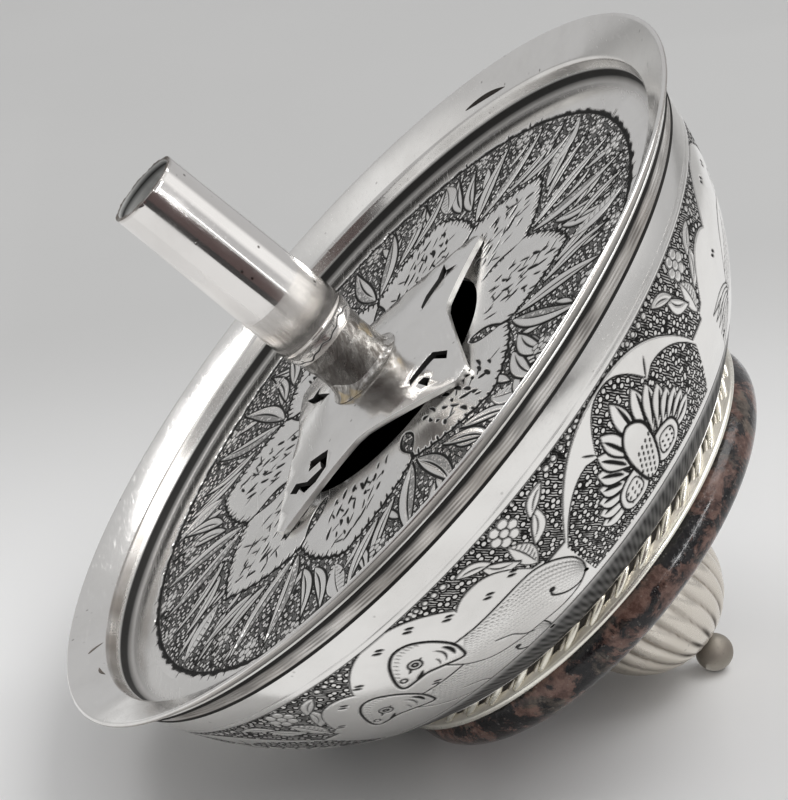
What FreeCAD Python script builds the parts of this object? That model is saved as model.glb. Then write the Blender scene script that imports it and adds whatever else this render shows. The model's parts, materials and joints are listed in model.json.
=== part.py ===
"""Engraved dish fitting: a flared tray on a raised bowl, with a socket tube on a pierced bracket above,
and a stone collar and a screwed fluted knob below, lying on its stone and its ball."""
import FreeCAD
import Part
import Sketcher
import math
import os

# Driving sizes in millimetres, each with what it measures
SIZES = [
    ("ball_radius", 3.4, "ball at the end of the knob"),
    ("shank_radius", 1.2, "shank of the ball, riveted through the knob"),
    ("shank_head_radius", 2.4, "peened head of the shank"),
    ("shank_head_height", 0.8, "peened head of the shank"),
    ("collar_radius", 2.7, "ring between ball and knob"),
    ("collar_thickness", 0.8, "ring between ball and knob"),
    ("dome_height", 25.6, "knob from its tip to its open end"),
    ("dome_radius", 15.2, "knob at its belly, over the flutes"),
    ("dome_shoulder", 10.2, "belly of the knob below its open end"),
    ("dome_end_radius", 12.0, "knob at its open end"),
    ("dome_tip_radius", 3.3, "knob at its tip"),
    ("dome_wall", 0.9, "sheet of the knob under the flutes"),
    ("dome_tip_wall", 1.4, "knob's tip, along its axis"),
    ("dome_relief", 0.3, "knob's open end short of its plate, which bears on the washer"),
    ("flute_depth", 0.8, "flutes of the knob at its belly"),
    ("flute_count", 24, "flutes round the knob"),
    ("flute_twist", 14, "turn of a flute from end to tip, in degrees"),
    ("plate_thickness", 1.4, "plate in the knob's open end"),
    ("boss_radius", 4.0, "tapped boss of the plate"),
    ("boss_length", 9.0, "tapped boss of the plate"),
    ("leather_radius", 11.6, "soft washer between knob and stone"),
    ("leather_thickness", 0.8, "soft washer between knob and stone"),
    ("stone_radius", 42.3, "stone disc"),
    ("stone_thickness", 8.4, "stone disc"),
    ("stone_edge", 3.9, "rounding of the stone's edge"),
    ("seat_radius", 43.4, "smooth ring on the stone"),
    ("seat_width", 4.0, "smooth ring on the stone"),
    ("seat_thickness", 1.2, "smooth ring on the stone"),
    ("rope_setback", 1.2, "middle of the rope's strands inside the smooth ring's edge"),
    ("rope_height", 2.4, "rope ring"),
    ("rope_core_width", 2.2, "ring that carries the strands"),
    ("rope_strand_radius", 1.05, "strands of the rope ring"),
    ("rope_strand_count", 54, "strands round the rope ring"),
    ("rope_slant", 52, "lean of a strand from upright, in degrees"),
    ("packing_radius", 14.0, "soft packing inside the rope ring"),
    ("bowl_height", 39.3, "bowl from its foot to the seam under the rim"),
    ("bowl_foot_radius", 43.5, "flat foot of the bowl"),
    ("bowl_mouth_radius", 69.3, "bowl at the seam"),
    ("bowl_sweep", 56.0, "radius of the bowl's curve"),
    ("bowl_wall", 1.0, "sheet of the bowl"),
    ("rim_overhang", 5.7, "outer edge of the rim past the bowl's mouth"),
    ("rim_rise", 5.5, "top of the rim above the seam"),
    ("rim_crown", 2.0, "width of the rim's rounded edge"),
    ("rim_round", 0.5, "drop of the rim's rounded edge"),
    ("flange_inset", 2.1, "inner edge of the flared rim inside the bowl's mouth"),
    ("flange_drop", 3.4, "inner edge of the flared rim below its top"),
    ("flange_sweep", 9.5, "radius of the flared rim's curve"),
    ("tray_depth", 7.65, "flat disc below the rim's top"),
    ("tray_floor_inset", 4.1, "edge of the flat disc inside the bowl's mouth"),
    ("tray_sheet", 1.0, "sheet of the tray"),
    ("neck_width", 1.1, "ledge of the tray outside the bowl's mouth"),
    ("neck_cove", 9.0, "radius of the hollow under the rim"),
    ("access_radius", 23.0, "round hole in the disc under the bracket"),
    ("lip_wire_width", 1.7, "wire under the rim's edge"),
    ("lip_wire_height", 0.9, "wire under the rim's edge"),
    ("lip_wire_round", 0.4, "rounding of the wire's outer corner"),
    ("spider_radius", 31.5, "points of the bracket"),
    ("spider_notch_radius", 19.0, "notches between the points"),
    ("spider_notch_width", 2.4, "blunt end of a notch"),
    ("spider_tip_width", 3.0, "blunt end of a point"),
    ("spider_crown_radius", 10.0, "flat middle of the bracket"),
    ("spider_sheet", 1.0, "sheet of the bracket"),
    ("spider_rise", 3.65, "clear height under the bracket's middle"),
    ("spider_points", 4, "points of the bracket"),
    ("spider_turn", 79, "turn of the bracket's first notch about the axis, in degrees"),
    ("stub_radius", 6.2, "short tube"),
    ("stub_wall", 0.9, "short tube"),
    ("stub_height", 24.0, "short tube above the bracket"),
    ("ferrule_gap", 6.7, "bare stub between bracket and shoulder"),
    ("ferrule_length", 14.3, "tapered shoulder"),
    ("ferrule_foot_radius", 6.5, "tapered shoulder at its foot"),
    ("ferrule_taper", 5.0, "length of the shoulder's rounded foot"),
    ("ferrule_sweep", 18.5, "radius of the shoulder's rounded foot"),
    ("sleeve_length", 28.4, "long tube above its shoulder"),
    ("sleeve_radius", 7.2, "long tube at its shoulder"),
    ("sleeve_mouth_radius", 6.85, "long tube at its mouth"),
    ("sleeve_bore_radius", 6.0, "clear bore of the long tube"),
    ("rod_radius", 2.0, "rod through the stack"),
    ("rod_reach", 8.0, "rod past the knob's open end"),
    ("rod_chamfer", 0.4, "ends of the rod"),
    ("rod_tail", 2.0, "rod past its nut"),
    ("rod_nut_radius", 4.1, "nut over its corners"),
    ("rod_nut_height", 3.2, "nut"),
    ("rod_washer_radius", 6.5, "washer under the nut"),
    ("rod_washer_thickness", 1.0, "washer under the nut"),
    ("turning_clearance", 0.05, "knob's tapped bore round the rod"),
    ("solder_clearance", 0.05, "soldered tubes and pins"),
    ("loose_clearance", 0.3, "holes that the rod passes through"),
]

# Scrolls pierced by hand through the bracket's points: corners along a point and across it,
# in hundredths of the points' reach
SCROLLS = [
    ("fork", 0, [(62, 6), (54, 12), (25, 16), (32, 19), (51, 19), (75, 13), (63, 13)]),
    ("hook", 1, [(78, -10), (78, 8), (71, 17), (62, 21), (52, 14), (59, -2), (65, 2), (59, 11),
                 (63, 16), (71, 6), (72, -8)]),
    ("comma", 2, [(75, 13), (79, 8), (68, 7), (65, -3), (63, -11), (59, -8), (61, 5), (63, 11)]),
    ("lozenge", 2, [(70, -5), (76, -5), (78, -10), (68, -9)]),
    ("twig", 3, [(76, -10), (65, -10), (51, -15), (40, -20), (42, -16), (51, -9), (65, -3),
                 (78, 9), (72, -3)]),
]

doc = FreeCAD.newDocument("engraved_dish_fitting")
sheet = doc.addObject("Spreadsheet::Sheet", "Sizes")
for row, (alias, number, meaning) in enumerate(SIZES, start=1):
    sheet.set(f"A{row}", meaning)
    sheet.set(f"B{row}", str(number))
    sheet.setAlias(f"B{row}", alias)
doc.recompute()


def value(text):
    """Number that a sum of named sizes stands for, such as "stone_radius - stone_edge*2"."""
    total = 0.0
    sign = 1.0
    for word in text.split():
        if word in ("+", "-"):
            sign = 1.0 if word == "+" else -1.0
            continue
        name, _, factor = word.partition("*")
        number = float(name) if name[0].isdigit() else float(getattr(sheet, name))
        total += sign * number * float(factor or 1)
    return total


def bound(text):
    """The same sum as an expression on the sheet's cells."""
    words = [word if word[0] in "+-0123456789" else "Sizes." + word for word in text.split()]
    return " ".join(words)


def plane_of(body, role):
    """One of a body's own origin planes."""
    return next(plane for plane in body.Origin.OriginFeatures if plane.Role == role)


def arc_between(first, last, radius, side):
    """Arc from first to last that bulges to the left (side 1) or right (side -1) of the way along."""
    chord = last - first
    half = chord.Length / 2
    left = FreeCAD.Vector(-chord.y, chord.x, 0).normalize()
    centre = (first + last) * 0.5 - left * side * math.sqrt(radius**2 - half**2)
    start, end = (last, first) if side > 0 else (first, last)
    angle = math.atan2(start.y - centre.y, start.x - centre.x)
    sweep = 2 * math.asin(half / radius)
    circle = Part.Circle(centre, FreeCAD.Vector(0, 0, 1), radius)
    return Part.ArcOfCircle(circle, angle, angle + sweep)


def outline(body, name, role, corners, arcs=None):
    """Closed sketch whose corners are pairs of sums, and whose sides named in arcs are round.

    arcs maps the number of a side to the sum that gives its radius and the side that it bulges to.
    """
    arcs = arcs or {}
    sketch = body.newObject("Sketcher::SketchObject", name)
    sketch.AttachmentSupport = (plane_of(body, role), [""])
    sketch.MapMode = "FlatFace"
    places = [FreeCAD.Vector(value(across), value(up), 0) for across, up in corners]
    ends = []
    for side, first in enumerate(places):
        last = places[(side + 1) % len(places)]
        if side in arcs:
            radius, bulge = arcs[side]
            edge = sketch.addGeometry(arc_between(first, last, value(radius), bulge), False)
            ends.append((edge, 2, 1) if bulge > 0 else (edge, 1, 2))
            size_constraint(sketch, Sketcher.Constraint("Radius", edge, value(radius)), radius)
        else:
            edge = sketch.addGeometry(Part.LineSegment(first, last), False)
            ends.append((edge, 1, 2))
    for side, (edge, first, last) in enumerate(ends):
        next_edge, next_first, _ = ends[(side + 1) % len(ends)]
        sketch.addConstraint(Sketcher.Constraint("Coincident", edge, last, next_edge, next_first))
        pin_corner(sketch, edge, first, corners[side])
    return sketch


def size_constraint(sketch, constraint, text):
    """Add one dimension to a sketch and bind it to the sheet."""
    index = sketch.addConstraint(constraint)
    sketch.setExpression(f"Constraints[{index}]", bound(text))


def pin_corner(sketch, edge, end, corner):
    """Hold one corner of a sketch at its two sums, on an axis where a sum is 0."""
    for text, axis, kind in ((corner[0], -2, "DistanceX"), (corner[1], -1, "DistanceY")):
        if text == "0":
            sketch.addConstraint(Sketcher.Constraint("PointOnObject", edge, end, axis))
        else:
            size_constraint(sketch, Sketcher.Constraint(kind, edge, end, value(text)), text)


def new_body(label):
    """Empty body whose label names the piece."""
    body = doc.addObject("PartDesign::Body", label)
    body.Label = label
    return body


def turn(body, name, corners, arcs=None):
    """Revolve a profile of (radius, height) corners about the axis of the whole object."""
    sketch = outline(body, name + "_profile", "XZ_Plane", corners, arcs)
    feature = body.newObject("PartDesign::Revolution", name)
    feature.Profile = sketch
    feature.ReferenceAxis = (sketch, ["V_Axis"])
    feature.Angle = 360
    body.Tip = feature
    doc.recompute()
    return feature


def turned(label, corners, arcs=None):
    """Piece made by one revolved profile."""
    body = new_body(label)
    turn(body, label + "_turn", corners, arcs)
    return body


def ring(label, inner, outer, foot, top):
    """Plain washer between two radii and two heights."""
    return turned(label, [(inner, foot), (outer, foot), (outer, top), (inner, top)])


# Heights up the axis, from the ball's far side to the mouth of the tube
ball_top = "ball_radius*2"
dome_tip = ball_top + " + collar_thickness"
dome_end = dome_tip + " + dome_height"
stone_foot = dome_end + " + leather_thickness"
stone_top = stone_foot + " + stone_thickness"
seat_top = stone_top + " + seat_thickness"
bowl_foot = seat_top + " + rope_height"
bowl_floor = bowl_foot + " + bowl_wall"
nut_foot = bowl_floor + " + rod_washer_thickness"
nut_top = nut_foot + " + rod_nut_height"
seam = bowl_foot + " + bowl_height"
rim_top = seam + " + rim_rise"
disc_top = rim_top + " - tray_depth"
disc_foot = disc_top + " - tray_sheet"
lip_foot = rim_top + " - rim_round - tray_sheet"
spider_foot = disc_top + " + spider_rise"
spider_top = spider_foot + " + spider_sheet"
ferrule_foot = spider_top + " + ferrule_gap"
ferrule_top = ferrule_foot + " + ferrule_length"
stub_top = spider_top + " + stub_height"
mouth = ferrule_top + " + sleeve_length"

# Radii that follow from the bowl and from the rod
rim = "bowl_mouth_radius + rim_overhang"
flange_inner = "bowl_mouth_radius - flange_inset"
tray_floor = "bowl_mouth_radius - tray_floor_inset"
rod_hole = "rod_radius + loose_clearance"


def make_tray():
    """Flared rim, step wall and flat disc with its round hole, in one sheet with a thick neck."""
    neck = "bowl_mouth_radius + neck_width"
    spigot = "bowl_mouth_radius - bowl_wall - loose_clearance"
    corners = [
        ("access_radius", disc_foot),
        (tray_floor + " + tray_sheet", disc_foot),
        (spigot, seam),
        (neck, seam),
        (rim + " - lip_wire_width", lip_foot),
        (rim, lip_foot),
        (rim, rim_top + " - rim_round"),
        (rim + " - rim_crown", rim_top),
        (flange_inner, rim_top + " - flange_drop"),
        (tray_floor, disc_top),
        ("access_radius", disc_top),
    ]
    arcs = {3: ("neck_cove", 1), 7: ("flange_sweep", -1)}
    return turned("tray", corners, arcs)


def make_lip_wire():
    """Wire under the rim's edge, with its lower outer corner rounded."""
    inner = rim + " - lip_wire_width"
    foot = lip_foot + " - lip_wire_height"
    corners = [
        (inner, foot),
        (rim + " - lip_wire_round", foot),
        (rim, foot + " + lip_wire_round"),
        (rim, lip_foot),
        (inner, lip_foot),
    ]
    return turned("lip_wire", corners, {1: ("lip_wire_round", -1)})


def make_bowl():
    """Raised bowl: a flat foot with the rod's hole, and one swept wall up to the seam."""
    corners = [
        (rod_hole, bowl_foot),
        ("bowl_foot_radius", bowl_foot),
        ("bowl_mouth_radius", seam),
        ("bowl_mouth_radius - bowl_wall", seam),
        ("bowl_foot_radius - bowl_wall*0.25", bowl_floor),
        (rod_hole, bowl_floor),
    ]
    arcs = {1: ("bowl_sweep", -1), 3: ("bowl_sweep - bowl_wall", 1)}
    return turned("bowl_shell", corners, arcs)


def pierce(body, name, corners, turned_by=0.0):
    """Cut a straight-sided outline up through the bracket, turned about the axis, and check that it cut."""
    before = body.Shape.Volume
    sketch = body.newObject("Sketcher::SketchObject", name + "_outline")
    sketch.AttachmentSupport = (plane_of(body, "XY_Plane"), [""])
    sketch.MapMode = "FlatFace"
    spin = FreeCAD.Rotation(FreeCAD.Vector(0, 0, 1), math.degrees(turned_by))
    sketch.AttachmentOffset = FreeCAD.Placement(FreeCAD.Vector(), spin)
    places = [FreeCAD.Vector(along, across, 0) for along, across in corners]
    for first, last in zip(places, places[1:] + places[:1]):
        sketch.addGeometry(Part.LineSegment(first, last), False)
    feature = body.newObject("PartDesign::Pocket", name)
    feature.Profile = sketch
    feature.Type = "ThroughAll"
    feature.Reversed = True
    body.Tip = feature
    doc.recompute()
    if body.Shape.Volume > before - 0.1:
        raise RuntimeError(name + " cut nothing")
    return feature


def make_spider():
    """Bridge of bowed sheet: a turned crown and skirt, cut back to points and pierced with scrolls."""
    body = new_body("spider_bracket")
    hole = "stub_radius + solder_clearance"
    turn(body, "spider_sheet_turn", [
        (hole, spider_foot),
        ("spider_crown_radius", spider_foot),
        ("spider_radius", disc_top),
        ("spider_radius", disc_top + " + spider_sheet"),
        ("spider_crown_radius", spider_top),
        (hole, spider_top),
    ])
    # A notch runs from its blunt end out past the points on both sides
    half = value("spider_tip_width") / 2
    reach = math.pi / value("spider_points")
    radius = value("spider_radius")
    tip_x = radius * math.cos(reach) + half * math.sin(reach)
    tip_y = radius * math.sin(reach) - half * math.cos(reach)
    run_out = 2.0
    blunt = value("spider_notch_width") / 2
    far_x = value("spider_notch_radius") + (tip_x - value("spider_notch_radius")) * run_out
    far_y = blunt + (tip_y - blunt) * run_out
    corners = [(value("spider_notch_radius"), blunt), (far_x, far_y), (radius * run_out, far_y)]
    corners += [(across, -up) for across, up in reversed(corners)]
    notch = pierce(body, "spider_notch", corners)
    star = body.newObject("PartDesign::PolarPattern", "spider_notches")
    star.Originals = [notch]
    star.Axis = (next(axis for axis in body.Origin.OriginFeatures if axis.Role == "Z_Axis"), [""])
    star.Angle = 360
    star.setExpression("Occurrences", "Sizes.spider_points")
    body.Tip = star
    doc.recompute()
    for name, point, shares in SCROLLS:
        corners = [(along * radius / 100, across * radius / 100) for along, across in shares]
        pierce(body, name, corners, reach * (2 * point + 1))
    return body


def make_stub():
    """Short tube that stands in the bracket and carries the long tube."""
    return ring("stub_tube", "stub_radius - stub_wall", "stub_radius", spider_foot, stub_top)


def make_ferrule():
    """Tapered shoulder that closes the step from the long tube down to the stub."""
    bore = "stub_radius + solder_clearance"
    corners = [
        (bore, ferrule_foot),
        ("ferrule_foot_radius", ferrule_foot),
        ("sleeve_radius", ferrule_foot + " + ferrule_taper"),
        ("sleeve_radius", ferrule_top),
        (bore, ferrule_top),
    ]
    return turned("tube_ferrule", corners, {1: ("ferrule_sweep", -1)})


def make_sleeve():
    """Long tube with a clear bore, counterbored to slide over the stub."""
    counterbore = "stub_radius + solder_clearance"
    step = stub_top + " + loose_clearance"
    corners = [
        (counterbore, ferrule_top),
        ("sleeve_radius", ferrule_top),
        ("sleeve_mouth_radius", mouth),
        ("sleeve_bore_radius", mouth),
        ("sleeve_bore_radius", step),
        (counterbore, step),
    ]
    return turned("sleeve_tube", corners)


def make_rope_ring():
    """Ring of slanted strands on a plain core, trimmed level above and below."""
    up = FreeCAD.Vector(0, 0, 1)
    foot = FreeCAD.Vector(0, 0, value(seat_top))
    height = value("rope_height")
    middle = value("seat_radius - rope_setback")
    inner = middle - value("rope_core_width")
    strand_radius = value("rope_strand_radius")
    core = Part.makeCylinder(middle, height, foot)
    slab = Part.makeCylinder(middle + strand_radius, height, foot)
    bore = Part.makeCylinder(inner, height, foot)
    slant = math.radians(value("rope_slant"))
    along = FreeCAD.Vector(0, math.sin(slant), math.cos(slant))
    length = 2 * height / math.cos(slant)
    start = FreeCAD.Vector(middle, 0, value(seat_top) + height / 2) - along * (length / 2)
    strand = Part.makeCylinder(strand_radius, length, start, along).common(slab)
    count = int(value("rope_strand_count"))
    strands = []
    for number in range(count):
        copy = strand.copy()
        copy.rotate(FreeCAD.Vector(), up, 360 * number / count)
        strands.append(copy)
    feature = doc.addObject("Part::Feature", "rope_ring")
    feature.Shape = core.multiFuse(strands).cut(bore)
    feature.Label = "rope_ring"
    return feature


def make_stone():
    """Stone disc with a rounded edge and the rod's hole."""
    corners = [
        (rod_hole, stone_foot),
        ("stone_radius - stone_edge", stone_foot),
        ("stone_radius", stone_foot + " + stone_edge"),
        ("stone_radius", stone_top + " - stone_edge"),
        ("stone_radius - stone_edge", stone_top),
        (rod_hole, stone_top),
    ]
    arcs = {1: ("stone_edge", -1), 3: ("stone_edge", -1)}
    return turned("stone_disc", corners, arcs)


def dome_radius_at(height):
    """Radius over the flutes: two half ellipses that meet at the belly."""
    belly = value(dome_end) - value("dome_shoulder")
    widest = value("dome_radius")
    if height > belly:
        end = value("dome_end_radius")
        reach = value("dome_shoulder") / math.sqrt(1 - (end / widest) ** 2)
    else:
        end = value("dome_tip_radius")
        reach = (belly - value(dome_tip)) / math.sqrt(1 - (end / widest) ** 2)
    return widest * math.sqrt(1 - ((height - belly) / reach) ** 2)


def fluted_wire(height, radius, turned_by):
    """Closed wire of outward arcs, one for each flute, at one height of the knob."""
    count = int(value("flute_count"))
    valley = radius * (1 - value("flute_depth") / value("dome_radius"))
    step = 2 * math.pi / count

    def spot(reach, angle):
        return FreeCAD.Vector(reach * math.cos(angle), reach * math.sin(angle), height)

    arcs = []
    for number in range(count):
        angle = turned_by + number * step
        arc = Part.Arc(spot(valley, angle), spot(radius, angle + step / 2), spot(valley, angle + step))
        arcs.append(arc.toShape())
    return Part.Wire(arcs)


def make_dome():
    """Hollow gadrooned knob: a loft through fluted wires that turn as they go, less its inside."""
    tip = value(dome_tip)
    end = value(dome_end + " - dome_relief")
    twist = math.radians(value("flute_twist"))
    shares = (0.0, 0.07, 0.2, 0.38, 0.6, 0.8, 1.0)
    wires = []
    for share in shares:
        height = tip + (end - tip) * share
        wires.append(fluted_wire(height, dome_radius_at(height), twist * (1 - share)))
    outside = Part.makeLoft(wires, True, False)
    floor = tip + value("dome_tip_wall")
    skin = value("dome_wall") + value("flute_depth")
    rings = []
    for share in shares:
        height = floor + (end - floor) * share
        radius = dome_radius_at(height) - skin
        rings.append(Part.Wire(Part.makeCircle(radius, FreeCAD.Vector(0, 0, height))))
    inside = Part.makeLoft(rings, True, False)
    shank_hole = value("shank_radius") + value("solder_clearance")
    hole = Part.makeCylinder(shank_hole, end - tip, FreeCAD.Vector(0, 0, tip))
    feature = doc.addObject("Part::Feature", "fluted_dome")
    feature.Shape = outside.cut(inside).cut(hole)
    feature.Label = "fluted_dome"
    return feature


def make_knob_plate():
    """Plate in the knob's open end, with a tapped boss that turns on the rod."""
    bore = "rod_radius + turning_clearance"
    rim = "dome_end_radius - flute_depth - dome_wall - solder_clearance"
    corners = [
        (bore, dome_end + " - boss_length"),
        ("boss_radius", dome_end + " - boss_length"),
        ("boss_radius", dome_end + " - plate_thickness"),
        (rim, dome_end + " - plate_thickness"),
        (rim, dome_end),
        (bore, dome_end),
    ]
    return turned("knob_plate", corners)


def make_collar():
    """Half-round ring between the ball and the knob."""
    inner = "shank_radius + solder_clearance"
    bead = "collar_radius - collar_thickness*0.5"
    corners = [
        (inner, ball_top),
        (bead, ball_top),
        ("collar_radius", ball_top + " + collar_thickness*0.5"),
        (bead, dome_tip),
        (inner, dome_tip),
    ]
    arcs = {1: ("collar_thickness*0.5", -1), 2: ("collar_thickness*0.5", -1)}
    return turned("finial_collar", corners, arcs)


def make_ball():
    """Ball with a shank through the knob's tip, peened over inside."""
    body = new_body("ball_finial")
    corners = [("0", "0"), ("ball_radius", "ball_radius"), ("0", ball_top)]
    turn(body, "ball_turn", corners, {0: ("ball_radius", -1), 1: ("ball_radius", -1)})
    cavity_floor = dome_tip + " + dome_tip_wall"
    head_top = cavity_floor + " + shank_head_height"
    turn(body, "shank_turn", [
        ("0", "ball_radius"),
        ("shank_radius", "ball_radius"),
        ("shank_radius", cavity_floor),
        ("shank_head_radius", cavity_floor),
        ("shank_head_radius", head_top),
        ("0", head_top),
    ])
    return body


def make_tie_rod():
    """Rod from inside the knob up through the stone and the bowl's foot to its nut."""
    foot = dome_end + " - rod_reach"
    top = nut_top + " + rod_tail"
    corners = [
        ("0", foot),
        ("rod_radius - rod_chamfer", foot),
        ("rod_radius", foot + " + rod_chamfer"),
        ("rod_radius", top + " - rod_chamfer"),
        ("rod_radius - rod_chamfer", top),
        ("0", top),
    ]
    return turned("tie_rod", corners)


def make_rod_nut():
    """Six-sided nut on the rod, inside the bowl."""
    prism = doc.addObject("Part::Prism", "nut_prism")
    prism.Polygon = 6
    prism.setExpression("Circumradius", bound("rod_nut_radius"))
    prism.setExpression("Height", bound("rod_nut_height"))
    prism.setExpression("Placement.Base.z", bound(nut_foot))
    bore = doc.addObject("Part::Cylinder", "nut_bore")
    bore.setExpression("Radius", bound("rod_radius + solder_clearance"))
    bore.setExpression("Height", bound("rod_nut_height"))
    bore.setExpression("Placement.Base.z", bound(nut_foot))
    nut = doc.addObject("Part::Cut", "rod_nut")
    nut.Base = prism
    nut.Tool = bore
    nut.Label = "rod_nut"
    return nut


spider = make_spider()
pieces = [
    make_tray(),
    make_lip_wire(),
    make_bowl(),
    spider,
    make_stub(),
    make_ferrule(),
    make_sleeve(),
    make_rope_ring(),
    ring("seat_ring", "seat_radius - seat_width", "seat_radius", stone_top, seat_top),
    ring("packing_washer", rod_hole, "packing_radius", stone_top, bowl_foot),
    make_stone(),
    ring("leather_washer", rod_hole, "leather_radius", dome_end, stone_foot),
    make_dome(),
    make_knob_plate(),
    make_collar(),
    make_ball(),
    make_tie_rod(),
    ring("rod_washer", rod_hole, "rod_washer_radius", bowl_floor, nut_foot),
    make_rod_nut(),
]
doc.recompute()

# It lies on the stone's rounded edge and on the ball, so the tangent under both sets its lean
across = value("stone_radius - stone_edge")
along = value(stone_foot + " + stone_edge - ball_radius")
bigger = value("stone_edge - ball_radius")
lean = math.acos(-bigger / math.hypot(across, along)) - math.atan2(along, across)
tilt = FreeCAD.Rotation(FreeCAD.Vector(0, 1, 0), math.degrees(lean) - 90)
whole = FreeCAD.BoundBox()
for piece in pieces:
    shape = piece.Shape.copy()
    shape.Placement = FreeCAD.Placement(FreeCAD.Vector(), tilt).multiply(shape.Placement)
    whole.add(shape.optimalBoundingBox(False, False))
base = FreeCAD.Vector(-whole.Center.x, -whole.Center.y, -whole.ZMin)
pose = FreeCAD.Placement(base, tilt)
for piece in pieces:
    piece.Placement = pose
spider_spin = FreeCAD.Rotation(FreeCAD.Vector(0, 0, 1), value("spider_turn"))
spider.Placement = pose.multiply(FreeCAD.Placement(FreeCAD.Vector(), spider_spin))
doc.recompute()

for item in doc.Objects:
    if "Invalid" in item.State or "Error" in item.State:
        raise RuntimeError(item.Label + " failed to build")
for piece in pieces:
    if piece.Shape.isNull() or not piece.Shape.isValid():
        raise RuntimeError(piece.Label + " has no valid shape")
os.makedirs("parts", exist_ok=True)
for piece in pieces:
    piece.Shape.exportStep(f"parts/{piece.Label}.step")
    print(f"{piece.Label}: {piece.Shape.Volume:.1f} mm3, {len(piece.Shape.Solids)} solid")
mouth_place = pose.multVec(FreeCAD.Vector(0, 0, value(mouth)))
axis = tilt.multVec(FreeCAD.Vector(0, 0, 1))
print(f"lean {math.degrees(lean):.3f} degrees, base {base}, mouth {mouth_place}, axis {axis}")
print(f"size {whole.XLength:.2f} x {whole.YLength:.2f} x {whole.ZLength:.2f} mm")
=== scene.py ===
# %% [markdown]
# # An engraved silver dish fitting
# The object is a flared silver dish on a raised bowl. A socket tube stands on a pierced bracket in the
# dish, and under the bowl sit a rope ring, a stone collar and a fluted knob with a ball. It lies on the
# stone and the ball. The CAD frame gives every size. This script adds what a silversmith would see:
# engraving, solder, tarnish, wear.

# %% Load the frame
import json
import math
import bmesh
import bpy
import numpy as np
from mathutils import Matrix, Vector


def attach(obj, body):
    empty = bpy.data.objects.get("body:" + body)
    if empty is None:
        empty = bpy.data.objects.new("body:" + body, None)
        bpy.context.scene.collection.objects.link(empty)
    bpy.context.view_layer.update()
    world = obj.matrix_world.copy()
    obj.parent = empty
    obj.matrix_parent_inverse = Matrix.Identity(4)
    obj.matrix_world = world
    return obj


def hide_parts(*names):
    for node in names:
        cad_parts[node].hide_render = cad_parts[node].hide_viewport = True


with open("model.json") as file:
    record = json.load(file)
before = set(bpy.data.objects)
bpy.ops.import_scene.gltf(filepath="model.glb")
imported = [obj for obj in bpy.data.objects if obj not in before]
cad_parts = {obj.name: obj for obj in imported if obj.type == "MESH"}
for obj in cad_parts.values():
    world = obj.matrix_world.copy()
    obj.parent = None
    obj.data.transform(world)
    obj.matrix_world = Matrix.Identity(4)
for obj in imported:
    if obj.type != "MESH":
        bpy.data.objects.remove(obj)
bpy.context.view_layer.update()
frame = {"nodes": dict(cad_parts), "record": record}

# %% [markdown]
# Almost every piece is turned about one axis, which leans as the object lies. It is easiest to model
# upright, with Z along that axis and the ball's end at the bottom, in millimetres, and to lay each
# finished mesh down at the end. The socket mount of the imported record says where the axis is, so the lay
# comes from the frame.

# %% The axis of the object, and the matrix that lays a piece down
MM = 0.001
socket = frame["record"]["mounts"][0]
axis_up = Vector(socket["axis"]).normalized()
level = Vector((0, 1, 0))
socket_mouth = Vector(socket["pos_m"])
ball_points = [vert.co for vert in frame["nodes"]["ball_finial"].data.vertices]
lowest = min((point - socket_mouth).dot(axis_up) for point in ball_points)
lay = Matrix((level.cross(axis_up), level, axis_up)).transposed().to_4x4()
lay.translation = socket_mouth + axis_up * lowest
lay_mm = lay @ Matrix.Scale(MM, 4)
upright = np.array(lay_mm.inverted())


def span(node):
    """Lowest and highest level and largest radius of a CAD node about the axis, in millimetres."""
    mesh = frame["nodes"][node].data
    points = np.empty(len(mesh.vertices) * 3)
    mesh.vertices.foreach_get("co", points)
    points = points.reshape(-1, 3) @ upright[:3, :3].T + upright[:3, 3]
    return points[:, 2].min(), points[:, 2].max(), np.hypot(points[:, 0], points[:, 1]).max()


lean = math.degrees(math.asin(axis_up.z))
print(f"the axis rises {lean:.1f} degrees, rim radius {span('tray')[2]:.1f} mm")

# %% [markdown]
# A turned piece starts as a pencil line of radius and height, as on a lathe operator's drawing. Straight
# runs are edges, and round runs are made by spinning the pencil's tip about the middle of the arc. One
# full spin of the whole line about the axis then makes the piece.


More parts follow.
